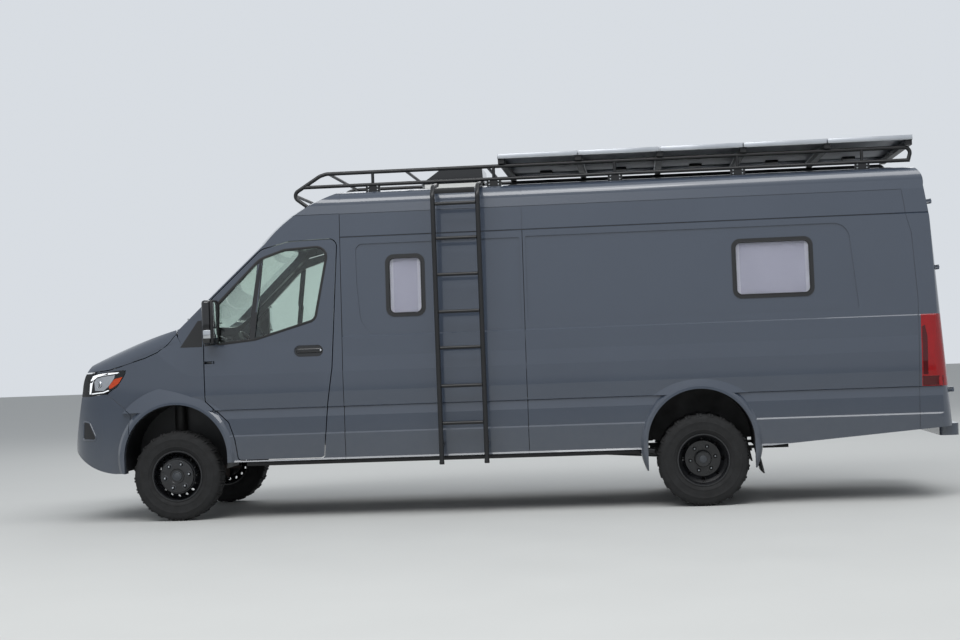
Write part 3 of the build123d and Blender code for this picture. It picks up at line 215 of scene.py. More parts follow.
finishes = {
    "paint": clearcoatPaint(),
    # Grained black polypropylene of grille, fuel tank, mirror feet and trim
    "blackPlastic": surface(
        "grainedBlackPolypropylene", ("#0c0d0f", "#141518"), (0.42, 0.55), 160, 1.8, 0.08),
    "glossBlack": surface(
        "glossBlackAbs", ("#0c0d0f", "#121316"), (0.08, 0.16), 240, 6, 0.01, Coat_Weight=0.5),
    # Powder coat on rack and ladder: satin, with a fine pebble
    "powderCoat": surface("blackPowderCoat", ("#0b0c0e", "#131416"), (0.32, 0.44), 220, 1.2, 0.04),
    "rimCoat": surface(
        "satinBlackWheelPaint", ("#0f1012", "#1a1b1e"), (0.22, 0.42), 90, 2.0, 0.03, Coat_Weight=0.3),
    "hubCoat": surface("darkGreyHubCover", ("#35383c", "#404449"), (0.4, 0.55), 60, 1.5, 0.05),
    "tread": surface("dustyTyreRubber", ("#0f1012", "#1e1e1e"), (0.75, 0.95), 70, 2.5, 0.2),
    "rubber": surface("blackEpdmRubber", ("#08090a", "#111213"), (0.5, 0.65), 120, 2.0, 0.06),
    "whitePlastic": surface("whiteAbs", ("#d9dad6", "#e4e4e0"), (0.3, 0.42), 150, 2.0, 0.04),
    "zinc": surface("zincPlatedSteel", ("#8f9294", "#a9acae"), (0.25, 0.4), 30, 1.0, 0.02, Metallic=1.0),
    "castIron": surface("castIronWithRust", ("#2b2724", "#4a3d34"), (0.65, 0.85), 40, 3.0, 0.3),
    "castAluminium": surface(
        "sandCastAluminium", ("#7c7e80", "#8d8f91"), (0.45, 0.6), 60, 1.5, 0.15, Metallic=0.9),
    "stainless": surface("stainlessExhaust", ("#6f6a62", "#8b857a"), (0.3, 0.5), 90, 1.0, 0.02, Metallic=1.0),
    "underseal": surface("blackWaxUnderseal", ("#131416", "#211f1d"), (0.5, 0.75), 130, 6.0, 0.4),
    "anodised": surface(
        "clearAnodisedAluminium", ("#b9bdc2", "#c6c9cd"), (0.28, 0.4), 200, 0.8, 0.01, Metallic=1.0),
    "backSheet": surface("whitePanelBackSheet", ("#c9ccd2", "#d6d9de"), (0.45, 0.6), 150, 2.0, 0.02),
    "dash": surface("grainedDashSkin", ("#1a1b1d", "#242629"), (0.5, 0.65), 200, 1.6, 0.12),
    "grip": surface("blackLeatherGrip", ("#121212", "#1c1b1a"), (0.45, 0.6), 50, 1.4, 0.15),
    "chrome": surface("brightChrome", ("#d2d4d6", "#dddfe1"), (0.05, 0.12), 80, 4.0, 0.005, Metallic=1.0),
    "mirror": surface("mirrorSilvering", ("#e3e6e8", "#eceeef"), (0.01, 0.03), 300, 8.0, 0.0, Metallic=1.0),
    "reflector": surface(
        "aluminisedReflector", ("#b9bcc0", "#c9ccd0"), (0.12, 0.2), 40, 5.0, 0.02, Metallic=1.0),
    "lampBlack": surface("lampInnerBezel", ("#0b0c0e", "#15171a"), (0.2, 0.3), 60, 3.0, 0.02),
    "blind": surface("lilacGreyBlind", ("#cfcfdb", "#dadae4"), (0.55, 0.7), 140, 3.0, 0.05),
    "blindRail": surface("whiteBlindRail", ("#f0f1f6", "#f6f7fa"), (0.35, 0.5), 140, 3.0, 0.02),
    "cabGlass": clearSheet("greenTintedSafetyGlass", "#dde9e2"),
    "camperPane": clearSheet("greyAcrylicPane", "#ececf1", (0.02, 0.08), 1.49),
    "clearLens": clearSheet("clearPolycarbonateLens", "#f2f5f6", (0.0, 0.03), 1.58),
    "redLens": clearSheet("redAcrylicLens", "#c4000c", (0.02, 0.06), 1.49, 0.55),
    "darkRedLens": clearSheet("smokedRedAcrylic", "#5a0009", (0.02, 0.06), 1.49, 0.4),
    "amberLens": clearSheet("amberAcrylicLens", "#d8480c", (0.02, 0.08), 1.49, 0.3),
    "seatCloth": wovenCloth("charcoalSeatCloth", ("#17181b", "#3a3c41"), 6.0),
    "cells": solarCells(),
    "lampWhite": lampStrip("daylightLampStrip", "#f4f7fa", 0.35),
}
print("materials ready:", len(finishes))

cadFinishes = {
    "paint": [
        "bonnet", "cab_frame", "front_bumper", "front_door_left", "front_door_right", "front_wings",
        "rear_bumper", "rear_door_left", "rear_door_right", "rear_frame", "roof", "side_panel_left",
        "side_panel_right", "sliding_door_right",
    ],
    "cabGlass": ["door_glass_left", "door_glass_right", "windscreen"],
    "camperPane": ["window_panes"],
    "blackPlastic": ["grille", "window_frames", "fuel_tank", "mirror_left", "mirror_right"],
    "dash": ["dashboard"],
    "grip": ["steering_wheel"],
    "powderCoat": ["rack_sides", "rack_bars", "ladder_rails", "ladder_rungs"],
    "anodised": ["solar_panels"],
    "whitePlastic": ["vent_base"],
    "glossBlack": ["vent_lid"],
    "rubber": ["mudflaps"],
    "tread": ["front_tyre_left", "front_tyre_right", "rear_tyres_left", "rear_tyres_right"],
    "rimCoat": ["front_rim_left", "front_rim_right", "rear_rims_left", "rear_rims_right"],
    "underseal": ["chassis_rails", "floor", "rear_axle", "front_suspension"],
    "castIron": ["knuckle_left", "knuckle_right"],
    "castAluminium": ["powertrain"],
    "stainless": ["exhaust"],
    "seatCloth": ["seats"],
    "lampBlack": ["headlamps"],
    "redLens": ["tail_lamps"],
}
for finish, names in cadFinishes.items():
    for name in names:
        data = cadNodes[name].data
        data.materials.clear()
        data.materials.append(finishes[finish])
print("solids finished")


# Modelling steps: a shape is drawn point by point, filled or spun, then finished with modifiers

weldGap = 0.00002
acrossVan = (0, 1, 0)
flipSides = Matrix.Diagonal((1, -1, 1, 1))


def deselect():
    bpy.ops.object.select_all(action="DESELECT")


def selectMesh():
    bpy.ops.mesh.select_all(action="SELECT")


def extrude(step):
    bpy.ops.mesh.extrude_region_move(TRANSFORM_OT_translate={"value": step})


# Draws straight runs from point to point, in the frame's own place
def drawLine(points):
    deselect()
    bpy.ops.mesh.primitive_plane_add(size=0.001, location=points[0])
    bpy.ops.object.mode_set(mode="EDIT")
    selectMesh()
    bpy.ops.mesh.merge(type="CENTER")
    for start, end in zip(points, points[1:]):
        extrude([b - a for a, b in zip(start, end)])
    return bpy.context.object


def endEdit():
    selectMesh()
    bpy.ops.mesh.remove_doubles(threshold=weldGap)
    bpy.ops.mesh.normals_make_consistent(inside=False)
    bpy.ops.object.mode_set(mode="OBJECT")


def applyModifier(piece, kind, **settings):
    bpy.context.view_layer.objects.active = piece
    modifier = piece.modifiers.new(kind, kind)
    for key, value in settings.items():
        setattr(modifier, key, value)
    bpy.ops.object.modifier_apply(modifier=modifier.name)


def roundEdges(piece, radius, segments=2, angle=0.6):
    applyModifier(
        piece, "BEVEL", width=radius / 1000, segments=segments, limit_method="ANGLE", angle_limit=angle)


# Puts a piece's place into its mesh
def settle(piece):
    deselect()
    piece.select_set(True)
    bpy.context.view_layer.objects.active = piece
    bpy.ops.object.transform_apply(location=True, rotation=True, scale=True)


# bevel is in millimetres, and smooth is the sharpest bend in degrees that is shaded as round
def finishPiece(piece, name, finish, body="body", bevel=0, smooth=35):
    settle(piece)
    if bevel:
        roundEdges(piece, bevel)
    bpy.ops.object.shade_smooth_by_angle(angle=math.radians(smooth))
    piece.name = name
    piece.data.name = name
    piece.data.materials.clear()
    piece.data.materials.append(finishes[finish])
    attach(piece, body)
    return piece


# A flat outline pushed out to a thickness
def plate(points, push):
    piece = drawLine(points)
    selectMesh()
    bpy.ops.mesh.edge_face_add()
    extrude(push)
    endEdit()
    return piece


# A profile spun round a line across the van, closed where it meets that line
def turnedShape(points, centre, steps):
    piece = drawLine(points)
    selectMesh()
    bpy.ops.mesh.spin(steps=steps, angle=2 * math.pi, center=centre, axis=acrossVan)
    endEdit()
    return piece


# A block between two corners
def brick(low, high):
    deselect()
    middle = [(a + b) / 2 for a, b in zip(low, high)]
    bpy.ops.mesh.primitive_cube_add(size=1, location=middle, scale=[b - a for a, b in zip(low, high)])
    return bpy.context.object


# A round bar between two points
def bar(start, end, radius, sides=24):
    start, end = Vector(start), Vector(end)
    deselect()
    turn = (end - start).to_track_quat("Z", "Y").to_euler()
    bpy.ops.mesh.primitive_cylinder_add(
        vertices=sides, radius=radius, depth=(end - start).length, location=(start + end) / 2, rotation=turn)
    return bpy.context.object


def joined(pieces):
    deselect()
    for piece in pieces:
        piece.select_set(True)
    bpy.context.view_layer.objects.active = pieces[0]
    bpy.ops.object.join()
    return pieces[0]


# A copy with its own mesh, moved by a matrix. A mirrored copy has its faces turned the right way again
def copied(piece, move):
    twin = piece.copy()
    twin.data = piece.data.copy()
    bpy.context.collection.objects.link(twin)
    twin.data.transform(move)
    if move.determinant() < 0:
        twin.data.flip_normals()
    return twin


# The right side's copy of a left piece, riding the body with the same name on that side
def mirrored(piece):
    twin = copied(piece, flipSides)
    twin.name = piece.name.replace("Left", "Right")
    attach(twin, piece["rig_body"].replace("left", "right"))
    return twin


def bothSides(pieces):
    return [mirrored(piece) for piece in pieces]


# Corners of an upright rectangle, all with one radius
def rectangle(x0, x1, z0, z1, radius):
    return [(x0, z0, radius), (x1, z0, radius), (x1, z1, radius), (x0, z1, radius)]


# Corners of an outline, given as station and height with a corner radius, rounded with arcs
def roundedRows(rows, steps=6):
    points = []
    count = len(rows)
    for index, row in enumerate(rows):
        here = Vector(row[:2])
        radius = row[2] if len(row) > 2 else 0
        before = (Vector(rows[index - 1][:2]) - here).normalized()
        after = (Vector(rows[(index + 1) % count][:2]) - here).normalized()
        if not radius:
            points.append(here)
            continue
        half = before.angle(after) / 2
        centre = here + (before + after).normalized() * radius / math.sin(half)
        first = here + before * radius / math.tan(half) - centre
        last = here + after * radius / math.tan(half) - centre
        for step in range(steps + 1):
            spoke = first.lerp(last, step / steps).normalized() * radius
            points.append(centre + spoke)
    return points


# Tyres: all-terrain tread, drawn once about the front left wheel's centre and copied

tyreLook = {
    # half of the casing's section: radius and distance from the middle plane, from bead to tread
    "casing": [
        (203.8, 70), (204.5, 87), (212, 89), (220, 95), (231, 101.5), (238, 104.5), (240, 107.5),
        (247, 108.2), (249, 106.2), (278, 108.8), (301, 108), (303, 109), (309, 108.6), (311, 106.6),
        (331, 102.5), (346, 97), (355, 91), (361, 82), (363.5, 70), (364.5, 40), (365, 0),
    ],
    "pitches": 24, "lugBase": 362, "lugTop": 371.2, "lugBevel": 1.2,
    # blocks of one pitch: four corners, each across the tread and along it
    "blocks": [
        [(3, -44), (27, -38), (22, -22), (2, -26)], [(6, -20), (29, -14), (27, -2), (4, -6)],
        [(-28, -30), (-4, -36), (-6, -18), (-24, -14)], [(-30, -8), (-3, -12), (-5, 6), (-27, 10)],
        [(32, -46), (52, -42), (54, -27), (34, -29)], [(34, -22), (54, -18), (52, -3), (32, -6)],
        [(-54, -36), (-34, -32), (-33, -15), (-52, -17)], [(-52, -10), (-32, -8), (-34, 8), (-54, 6)],
    ],
    # side lugs: place along the tread, width, and how far down the shoulder they reach
    "sideLugs": [(-35, 15, 344), (-11, 17, 350)],
    # a side lug's outer face and root, as radius and distance from the middle plane, and the foot's distances
    "lugFace": [(362, 57), (371.2, 57), (370.6, 74), (367, 85), (358, 94)], "lugRoot": (356, 88),
    "lugFoot": (99.5, 96),
}


def sectionPoints(rows, centre, side):
    return [(centre.x, centre.y + side * s / 1000, centre.z + r / 1000) for r, s in rows]


def modelTyre(centre):
    look = tyreLook
    half = look["casing"]
    profile = half + [(r, -s) for r, s in reversed(half[:-1])]
    casing = turnedShape(sectionPoints(profile + [half[0]], centre, -1), centre, 96)
    lugs = []
    base, top = look["lugBase"] / 1000, look["lugTop"] / 1000
    for corners in look["blocks"]:
        points = []
        for across, along in corners:
            points.append((centre.x + along / 1000, centre.y - across / 1000, centre.z + base))
        lugs.append(plate(points, (0, 0, top - base)))
    for place, width, reach in look["sideLugs"]:
        rows = look["lugFace"] + [(reach, distance) for distance in look["lugFoot"]] + [look["lugRoot"]]
        for side in (-1, 1):
            points = sectionPoints(rows, centre + Vector(((place - width / 2) / 1000, 0, 0)), side)
            lugs.append(plate(points, (width / 1000, 0, 0)))
    tread = joined(lugs)
    roundEdges(tread, look["lugBevel"], 1)
    bpy.ops.object.mode_set(mode="EDIT")
    selectMesh()
    steps = look["pitches"] - 1
    bpy.ops.mesh.spin(
        steps=steps, dupli=True, angle=2 * math.pi * steps / look["pitches"], center=centre, axis=acrossVan)
    bpy.ops.object.mode_set(mode="OBJECT")
    return joined([casing, tread])


def tyreCopies():
    pattern = modelTyre(frontHub)
    finishPiece(pattern, "tyrePattern", "tread", "front_wheel_left", smooth=30)
    low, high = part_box("front_tyre_left")
    half = (high.y - low.y) / 2
    for side, word in ((-1, "left"), (1, "right")):
        low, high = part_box("rear_tyres_" + word)
        outer = max(abs(low.y), abs(high.y)) - half
        inner = min(abs(low.y), abs(high.y)) + half
        for name, x, y, body, node in (
            ("frontTyre", frontAxle.x, abs(frontHub.y), "front_wheel_", "front_tyre_"),
            ("rearOuterTyre", rearAxle.x, outer, "rear_wheels_", "rear_tyres_"),
            ("rearInnerTyre", rearAxle.x, inner, "rear_wheels_", "rear_tyres_"),
        ):
            turn = Matrix.Identity(4) if side < 0 else flipSides
            place = Matrix.Translation((x, side * y, frontHub.z))
            twin = copied(pattern, place @ turn @ Matrix.Translation(-frontHub))
            twin.name = name + word.capitalize()
            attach(twin, body + word)
            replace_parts(twin, node + word)
    bpy.data.objects.remove(pattern)


tyreCopies()
print("tyres ready")

# Wheel fastenings: nuts, hub covers and valves. Distances are outwards from the wheel's middle plane
wheelLook = {
    "pitchRadius": 102.5, "nuts": 6, "firstNut": 0.35, "frontFace": 98.5, "rearFace": 17.5,
    "nut": [(0, 16), (7, 16), (12, 14.5), (14.5, 11), (14.5, 2), (17.5, 0.5), (17.5, -4), (0, -4)],
    "stud": [(0, 22), (5, 21), (8, 17), (8, 8), (0, 8)],
    "collar": [(18, -3), (18, 4), (20.5, 5.5), (23, 4), (24, -3)],
    "frontCap": [
        (0, 108.5), (14, 108), (24, 105.5), (29, 103), (30, 107), (35, 108), (39, 105), (41, 100), (0, 96),
    ],
    "rearCap": [(0, 134), (22, 133.5), (30, 131), (33, 127), (0, 126)],
    "valve": [(0, 0), (4, 0), (4.5, 4), (3.2, 6), (3.2, 26), (4, 27), (4, 35), (2.5, 36.5), (0, 36.5)],
    "valveFace": 62, "valvePlace": (0.12, 0, 0.135),
}


def spun(rows, centre, face=0, offset=(0, 0, 0), steps=24):
    x, y, z = centre.x + offset[0], centre.y, centre.z + offset[2]
    points = [(x, y - (s + face) / 1000, z + r / 1000) for r, s in rows]
    return turnedShape(points + [points[0]], (x, y, z), steps)


def nutRing(rows, centre, face, steps):
    look = wheelLook
    ring = []
    for index in range(look["nuts"]):
        angle = 2 * math.pi * (index + look["firstNut"]) / look["nuts"]
        reach = look["pitchRadius"] / 1000
        ring.append(spun(rows, centre, face, (reach * math.sin(angle), 0, reach * math.cos(angle)), steps))
    return joined(ring)


def wheelFastenings():
    look = wheelLook
    made = []
    for centre, face, name, body in (
        (frontHub, look["frontFace"], "frontWheel", "front_wheel_left"),
        (rearAxle, look["rearFace"], "rearWheel", "rear_wheels_left"),
    ):
        nuts = nutRing(look["nut"], centre, face, 6)
        made.append(finishPiece(nuts, name + "NutsLeft", "rimCoat", body, bevel=0.8))
        studs = nutRing(look["stud"], centre, face, 16)
        made.append(finishPiece(studs, name + "StudsLeft", "anodised", body))
    collars = nutRing(look["collar"], frontHub, look["frontFace"], 24)
    made.append(finishPiece(collars, "frontNutCollarsLeft", "hubCoat", "front_wheel_left"))
    for key, centre, name, body in (
        ("frontCap", frontHub, "frontHubCapLeft", "front_wheel_left"),
        ("rearCap", rearAxle, "rearHubCapLeft", "rear_wheels_left"),
    ):
        made.append(finishPiece(spun(look[key], centre, steps=48), name, "hubCoat", body))
    valve = spun(look["valve"], frontHub, look["valveFace"], look["valvePlace"], 12)
    made.append(finishPiece(valve, "frontValveLeft", "rubber", "front_wheel_left"))
    bothSides(made)


wheelFastenings()
print("wheel fastenings ready")


# Finding the skin: straight looks at the solids give the place where a piece sits.
# They start this far from the middle, and what they meet nearer to it than innerSkin isn't the skin

lookFrom = 1.6
innerSkin = 0.55
skinTrees = {}


def skinHit(names, start, direction):
    nearest = None
    for name in names:
        if name not in skinTrees:
            mesh = cadNodes[name].data
            skinTrees[name] = BVHTree.FromPolygons(
                [vertex.co for vertex in mesh.vertices], [face.vertices for face in mesh.polygons])
        hit = skinTrees[name].ray_cast(Vector(start), Vector(direction))
        if hit[0] and (nearest is None or hit[3] < nearest[3]):
            nearest = hit
    return nearest[0] if nearest else None


# The skin beside a place on the side. On solids of the right side it is found there and given as on the left
def sideHit(names, x, z):
    side = 1 if names[0].endswith("right") else -1
    hit = skinHit(names, (x, lookFrom * side, z), (0, -side, 0))
    if hit:
        hit.y *= -side
    return hit


# An outline seen from the side with a point every few centimetres, moved outwards by a gap in millimetres
def denseRows(rows, gap, step):
    corners = roundedRows(rows)
    points = []
    for start, end in zip(corners, corners[1:] + corners[:1]):
        runs = max(1, round((end - start).length / step))
        points += [start.lerp(end, run / runs) for run in range(runs)]
    if gap:
        area = sum(a.x * b.y - b.x * a.y for a, b in zip(points, points[1:] + points[:1]))
        turn = 1 if area > 0 else -1
        moved = []
        for index, point in enumerate(points):
            run = points[(index + 1) % len(points)] - points[index - 1]
            moved.append(point + Vector((run.y, -run.x)).normalized() * gap * turn)
        points = moved
    return points


# The same outline laid on the left side of some solids. A point that meets no skin goes as deep as the last
def onLeft(names, rows, gap, sink, step):
    points, last = [], -1.0
    for station, z in denseRows(rows, gap, step):
        hit = sideHit(names, at(station), z / 1000)
        last = hit.y if hit else last
        points.append(Vector((at(station), last + sink / 1000, z / 1000)))
    return points


# A round bead or tube along points
def bead(points, radius, closed=True):
    drawLine(points + points[:1] if closed else points)
    selectMesh()
    bpy.ops.mesh.remove_doubles(threshold=weldGap)
    bpy.ops.object.mode_set(mode="OBJECT")
    bpy.ops.object.convert(target="CURVE")
    piece = bpy.context.object
    piece.data.bevel_depth = radius / 1000
    piece.data.bevel_resolution = 2
    piece.data.use_fill_caps = True
    bpy.ops.object.convert(target="MESH")
    return bpy.context.object


# Lays a sheet drawn beside the left side on the skin of some solids and gives it a thickness.
# A point that meets no skin there takes the depth of the nearest one that does
def drape(piece, names, proud, thick):
    settle(piece)
    met, missed = [], []
    for vertex in piece.data.vertices:
        hit = sideHit(names, vertex.co.x, vertex.co.z)
        (met if hit and hit.y < -innerSkin else missed).append((vertex, hit))
    for vertex, hit in met:
        vertex.co.y = hit.y + (thick / 2 - proud) / 1000
    for vertex, hit in missed:
        here = vertex.co
        near = min(met, key=lambda pair: (pair[0].co.x - here.x) ** 2 + (pair[0].co.z - here.z) ** 2)
        vertex.co.y = near[0].co.y
    applyModifier(piece, "SOLIDIFY", thickness=thick / 1000, offset=0)


# An outline, made wider by a gap, drawn and filled beside the left side
def filledOutline(rows, gap=0):
    piece = drawLine([Vector((at(x), -lookFrom, z / 1000)) for x, z in denseRows(rows, gap, 30)])
    selectMesh()
    bpy.ops.mesh.edge_face_add()
    return piece


# A cover laid on the left side from its outline, with level and upright cuts so that it follows the bends
def leftCover(rows, names, proud, thick, cuts=0, uprights=0):
    piece = filledOutline(rows)
    heights = [row[1] / 1000 for row in rows]
    places = [at(row[0]) for row in rows]
    for count, axis, spots in ((cuts, 2, heights), (uprights, 0, places)):
        for cut in range(1, count + 1):
            place, normal = [0, 0, 0], [0, 0, 0]
            place[axis] = min(spots) + (max(spots) - min(spots)) * cut / (count + 1)
            normal[axis] = 1
            selectMesh()
            bpy.ops.mesh.bisect(plane_co=place, plane_no=normal)
    endEdit()
    drape(piece, names, proud, thick)
    return piece


# Covers from rows: name, finish, body, solids under it, how far proud and how thick in millimetres, outline
def makeCovers(rows, cuts=0, uprights=0, smooth=35):
    made = []
    for name, finish, body, names, proud, thick, outline in rows:
        cover = leftCover(outline, names, proud, thick, cuts, uprights)
        made.append(finishPiece(cover, name, finish, body, smooth=smooth))
    return made


# A flat ring laid on the left side round an outline
def leftRing(rows, names, width, proud, thick):
    piece = filledOutline(rows, width)
    bpy.ops.mesh.inset(thickness=width / 1000)
    bpy.ops.mesh.delete(type="FACE")
    endEdit()
    drape(piece, names, proud, thick)
    return piece


# A door's grip, from its stations, its heights, a place to find the skin, and its depth outwards and inwards
def doorGrip(spans, name, names, body):
    (front, rear), (low, high), (station, z), (out, into) = spans
    skin = sideHit(names, at(station), z / 1000).y
    grip = brick((at(front), skin - out / 1000, low / 1000), (at(rear), skin + into / 1000, high / 1000))
    return finishPiece(grip, name, "glossBlack", body, bevel=9, smooth=60), skin


# Front doors: window seal, divider cover, black corners under the mirror, handle in its pocket, and lock

doorLook = {
    "window": [
        (395, 1458, 20), (700, 1487), (1195, 1628, 60), (1314, 2214, 70), (960, 2196), (760, 2130, 200),
        (290, 1668, 40),
    ],
    # width, how far proud, thickness
    "seal": (20, 3.5, 6),
    "covers": [
        ("doorDividerCoverLeft", "glossBlack", "front_door_left", ["front_door_left"], 1.5, 3,
         [(652, 1484), (700, 1489), (782, 2134), (732, 2114)]),
        ("doorSailLeft", "blackPlastic", "front_door_left", ["front_door_left"], 2, 3,
         [(276, 1434), (398, 1450), (410, 1795), (290, 1680), (276, 1655)]),
        ("pillarSailLeft", "blackPlastic", "body", ["cab_frame", "front_wings"], 2, 3,
         [(72, 1432), (256, 1432), (256, 1650), (222, 1646)]),
        ("handlePocketLeft", "glossBlack", "front_door_left", ["front_door_left"], 0.8, 1.6,
         rectangle(1028, 1261, 1321, 1411, 43)),
    ],
    "grip": ((1042, 1250), (1350, 1390), (1145, 1440), (11, 9)),
    # name, finish, bevel, station, height, reach outwards and inwards from the skin, radius
    "pegs": [
        ("handleFootFrontLeft", "glossBlack", 0, 1060, 1370, 2, 14, 13),
        ("handleFootRearLeft", "glossBlack", 0, 1232, 1370, 2, 14, 13),
        ("doorLockLeft", "chrome", 0.6, 1246, 1370, 13, -4, 8),
    ],
}


def frontDoorTrim():
    look = doorLook
    door = "front_door_left"
    seal = leftRing(look["window"], [door], *look["seal"])
    made = [finishPiece(seal, "doorWindowSealLeft", "rubber", door, bevel=1.5, smooth=50)]
    made += makeCovers(look["covers"])
    grip, skin = doorGrip(look["grip"], "doorHandleLeft", [door], door)
    made.append(grip)
    for name, finish, bevel, station, z, out, into, radius in look["pegs"]:
        start, end = [(at(station), skin + depth / 1000, z / 1000) for depth in (-out, into)]
        made.append(finishPiece(bar(start, end, radius / 1000), name, finish, door, bevel=bevel))
    bothSides(made)


# Door mirrors: glasses, black shell behind the cap, foot, and the clear lamp low on the outside. The cap is
# gloss black, as dark as it looks in shade: painted shade

mirrorLook = {
    "capBevel": 24, "lampGap": 0.004, "capEnd": 0.022, "shellDepth": 0.026, "shellInset": 0.001,
    # widths and heights in metres
    "glasses": [
        ("mirrorGlassLeft", (1.048, 1.160), (1.592, 1.795)),
        ("mirrorWideGlassLeft", (1.048, 1.160), (1.498, 1.578)),
    ],
    "glassThick": 0.002,
    # two corners: station, distance across and height, for the lamp across from the mirror's outer end
    "foot": ((297, -1.058, 1.450), (388, -0.984, 1.549)), "lamp": ((312, 0.0005, 1.498), (374, 0.03, 1.566)),
}


def mirrorTrim():
    look = mirrorLook
    door = "front_door_left"
    low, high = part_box("mirror_left")
    inner, inset = max(low.y, high.y), look["shellInset"]
    cap = brick((low.x, low.y + look["lampGap"], low.z), (high.x - look["capEnd"], inner, high.z))
    # The cap's gloss black is painted shade, as dark as the forward-facing cap looks in shadow
    made = [finishPiece(cap, "mirrorCapLeft", "glossBlack", door, bevel=look["capBevel"], smooth=60)]
    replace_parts(cap, "mirror_left")
    front = high.x - look["shellDepth"]
    shell = brick((front, low.y + inset, low.z + inset), (high.x, inner, high.z - inset))
    made.append(finishPiece(shell, "mirrorShellLeft", "blackPlastic", door, bevel=9, smooth=50))
    for name, (y0, y1), (z0, z1) in look["glasses"]:
        glass = brick((high.x, -y1, z0), (high.x + look["glassThick"], -y0, z1))
        made.append(finishPiece(glass, name, "mirror", door, bevel=0.8))
    for key, name, finish, edge, bevel in (
        ("foot", "mirrorFootLeft", "blackPlastic", 0, 12), ("lamp", "mirrorLampLeft", "reflector", low.y, 3),
    ):
        (front, outer, bottom), (rear, near, top) = look[key]
        block = brick((at(front), edge + outer, bottom), (at(rear), edge + near, top))
        made.append(finishPiece(block, name, finish, door, bevel=bevel, smooth=60))
    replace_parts(bothSides(made)[0], "mirror_right")


# Living area windows: pane gasket, and closed blind with its white rails behind the pane

windowLook = {
    "front": (1829, 2086, 1654, 2099), "rear": (4646, 5226, 1691, 2106), "radius": 42,
    "gasketRadius": 4.5, "gasketGap": 4, "gasketSink": 2,
    # the blind's depth behind the skin beside the pane, its reach past the pane, its thickness, and its rails
    "depth": 26, "beside": 60, "past": 8, "thick": 4, "rail": 30, "railAhead": 5,
}


def windowTrim():
    look = windowLook
    past, ahead = look["past"], look["railAhead"]
    for key in ("front", "rear"):
        x0, x1, z0, z1 = look[key]
        rows = rectangle(x0, x1, z0, z1, look["radius"])
        points = onLeft(["window_frames"], rows, look["gasketGap"], look["gasketSink"], 60)
        gasket = bead(points, look["gasketRadius"])
        made = [finishPiece(gasket, key + "WindowGasketLeft", "rubber", smooth=50)]
        shade = []
        for z in (z0 - past, z1 + past):
            skin = sideHit(["side_panel_left"], at(x0 - look["beside"]), z / 1000).y
            shade.append(skin + look["depth"] / 1000)
        for name, left, right, finish, nearer in (
            ("Blind", x0 - past, x1 + past, "blind", 0),
            ("RailFront", x0 - past, x0 + look["rail"], "blindRail", ahead),
            ("RailRear", x1 - look["rail"], x1 + past, "blindRail", ahead),
        ):
            low, high = [
                (y - nearer / 1000, z / 1000) for y, z in zip(shade, (z0 - past, z1 + past))]
            corners = [(at(left), *low), (at(right), *low), (at(right), *high), (at(left), *high)]
            board = plate([Vector(corner) for corner in corners], (0, look["thick"] / 1000, 0))
            made.append(finishPiece(board, key + "Window" + name + "Left", finish))
        bothSides(made)


# Headlamps: white strip along the top and down the front, thin strip below, amber and bright reflectors,
# and lens. Tail lamps: darker red inserts

lampLook = {
    "headlamp": [
        ("headlampStripLeft", "lampWhite", "body", ["headlamps"], 2.5, 4, [
            (-748, 1072), (-732, 1072), (-716, 1150), (-700, 1194), (-672, 1214), (-622, 1222), (-478, 1238),
            (-462, 1248), (-560, 1245), (-664, 1236), (-712, 1222), (-733, 1186)]),
        ("headlampLowerStripLeft", "lampWhite", "body", ["headlamps"], 2.5, 4, [
            (-724, 1070), (-610, 1080), (-560, 1096), (-566, 1104), (-612, 1088), (-722, 1079)]),
        ("headlampAmberLeft", "amberLens", "body", ["headlamps"], 3.0, 4, [
            (-556, 1110), (-528, 1120), (-470, 1156), (-436, 1208), (-508, 1192), (-560, 1136)]),
        ("headlampReflectorLeft", "reflector", "body", ["headlamps"], 1.5, 4, [
            (-690, 1100), (-610, 1098), (-566, 1130), (-512, 1196), (-500, 1226), (-620, 1214), (-668, 1202),
            (-694, 1176)]),
    ],
    "tailLamp": [
        ("tailLampInnerLeft", "darkRedLens", "body", ["tail_lamps"], 1.5, 3, [
            (6080, 1000), (6118, 1000), (6124, 1300), (6108, 1392), (6086, 1380)]),
        ("tailLampLowerLeft", "darkRedLens", "body", ["tail_lamps"], 1.5, 3, [
            (6074, 912), (6236, 912), (6236, 986), (6076, 986)]),
    ],
    # station, height and radius, then each part's name, finish, start and end on the slant, growth and bevel
    "eye": (-655, 1150, 27),
    "eyeParts": [
        ("headlampEyeLeft", "clearLens", -0.004, 0.012, 0, 5),
        ("headlampEyeRingLeft", "reflector", -0.002, 0.010, 0.006, 2),
    ],
}


def lampTrim():
    look = lampLook
    made = makeCovers(look["headlamp"], 5, 9, 50)
    station, z, radius = look["eye"]
    hit = sideHit(["headlamps"], at(station), z / 1000)
    for name, finish, start, end, growth, bevel in look["eyeParts"]:
        ends = [hit + Vector((place, place, 0)) for place in (start, end)]
        eye = bar(ends[0], ends[1], radius / 1000 + growth, 48)
        made.append(finishPiece(eye, name, finish, bevel=bevel, smooth=60))
    made += makeCovers(look["tailLamp"], 3, 3, 50)
    bothSides(made)


# Bumper corners: dark triangular fog recess with its bezel
fogLook = {
    "recess": [(-812, 836, 12), (-762, 826, 12), (-696, 694, 14), (-826, 696, 12)],
    "proud": 1.2, "thick": 3, "bezelRadius": 8, "bezelGap": 8, "bezelSink": 1,
}


def fogTrim():
    look = fogLook
    recess = leftCover(look["recess"], ["front_bumper"], look["proud"], look["thick"], 5, 6)
    made = [finishPiece(recess, "fogRecessLeft", "blackPlastic")]
    points = onLeft(["front_bumper"], look["recess"], look["bezelGap"], look["bezelSink"], 15)
    made.append(finishPiece(bead(points, look["bezelRadius"]), "fogBezelLeft", "paint", smooth=50))
    bothSides(made)


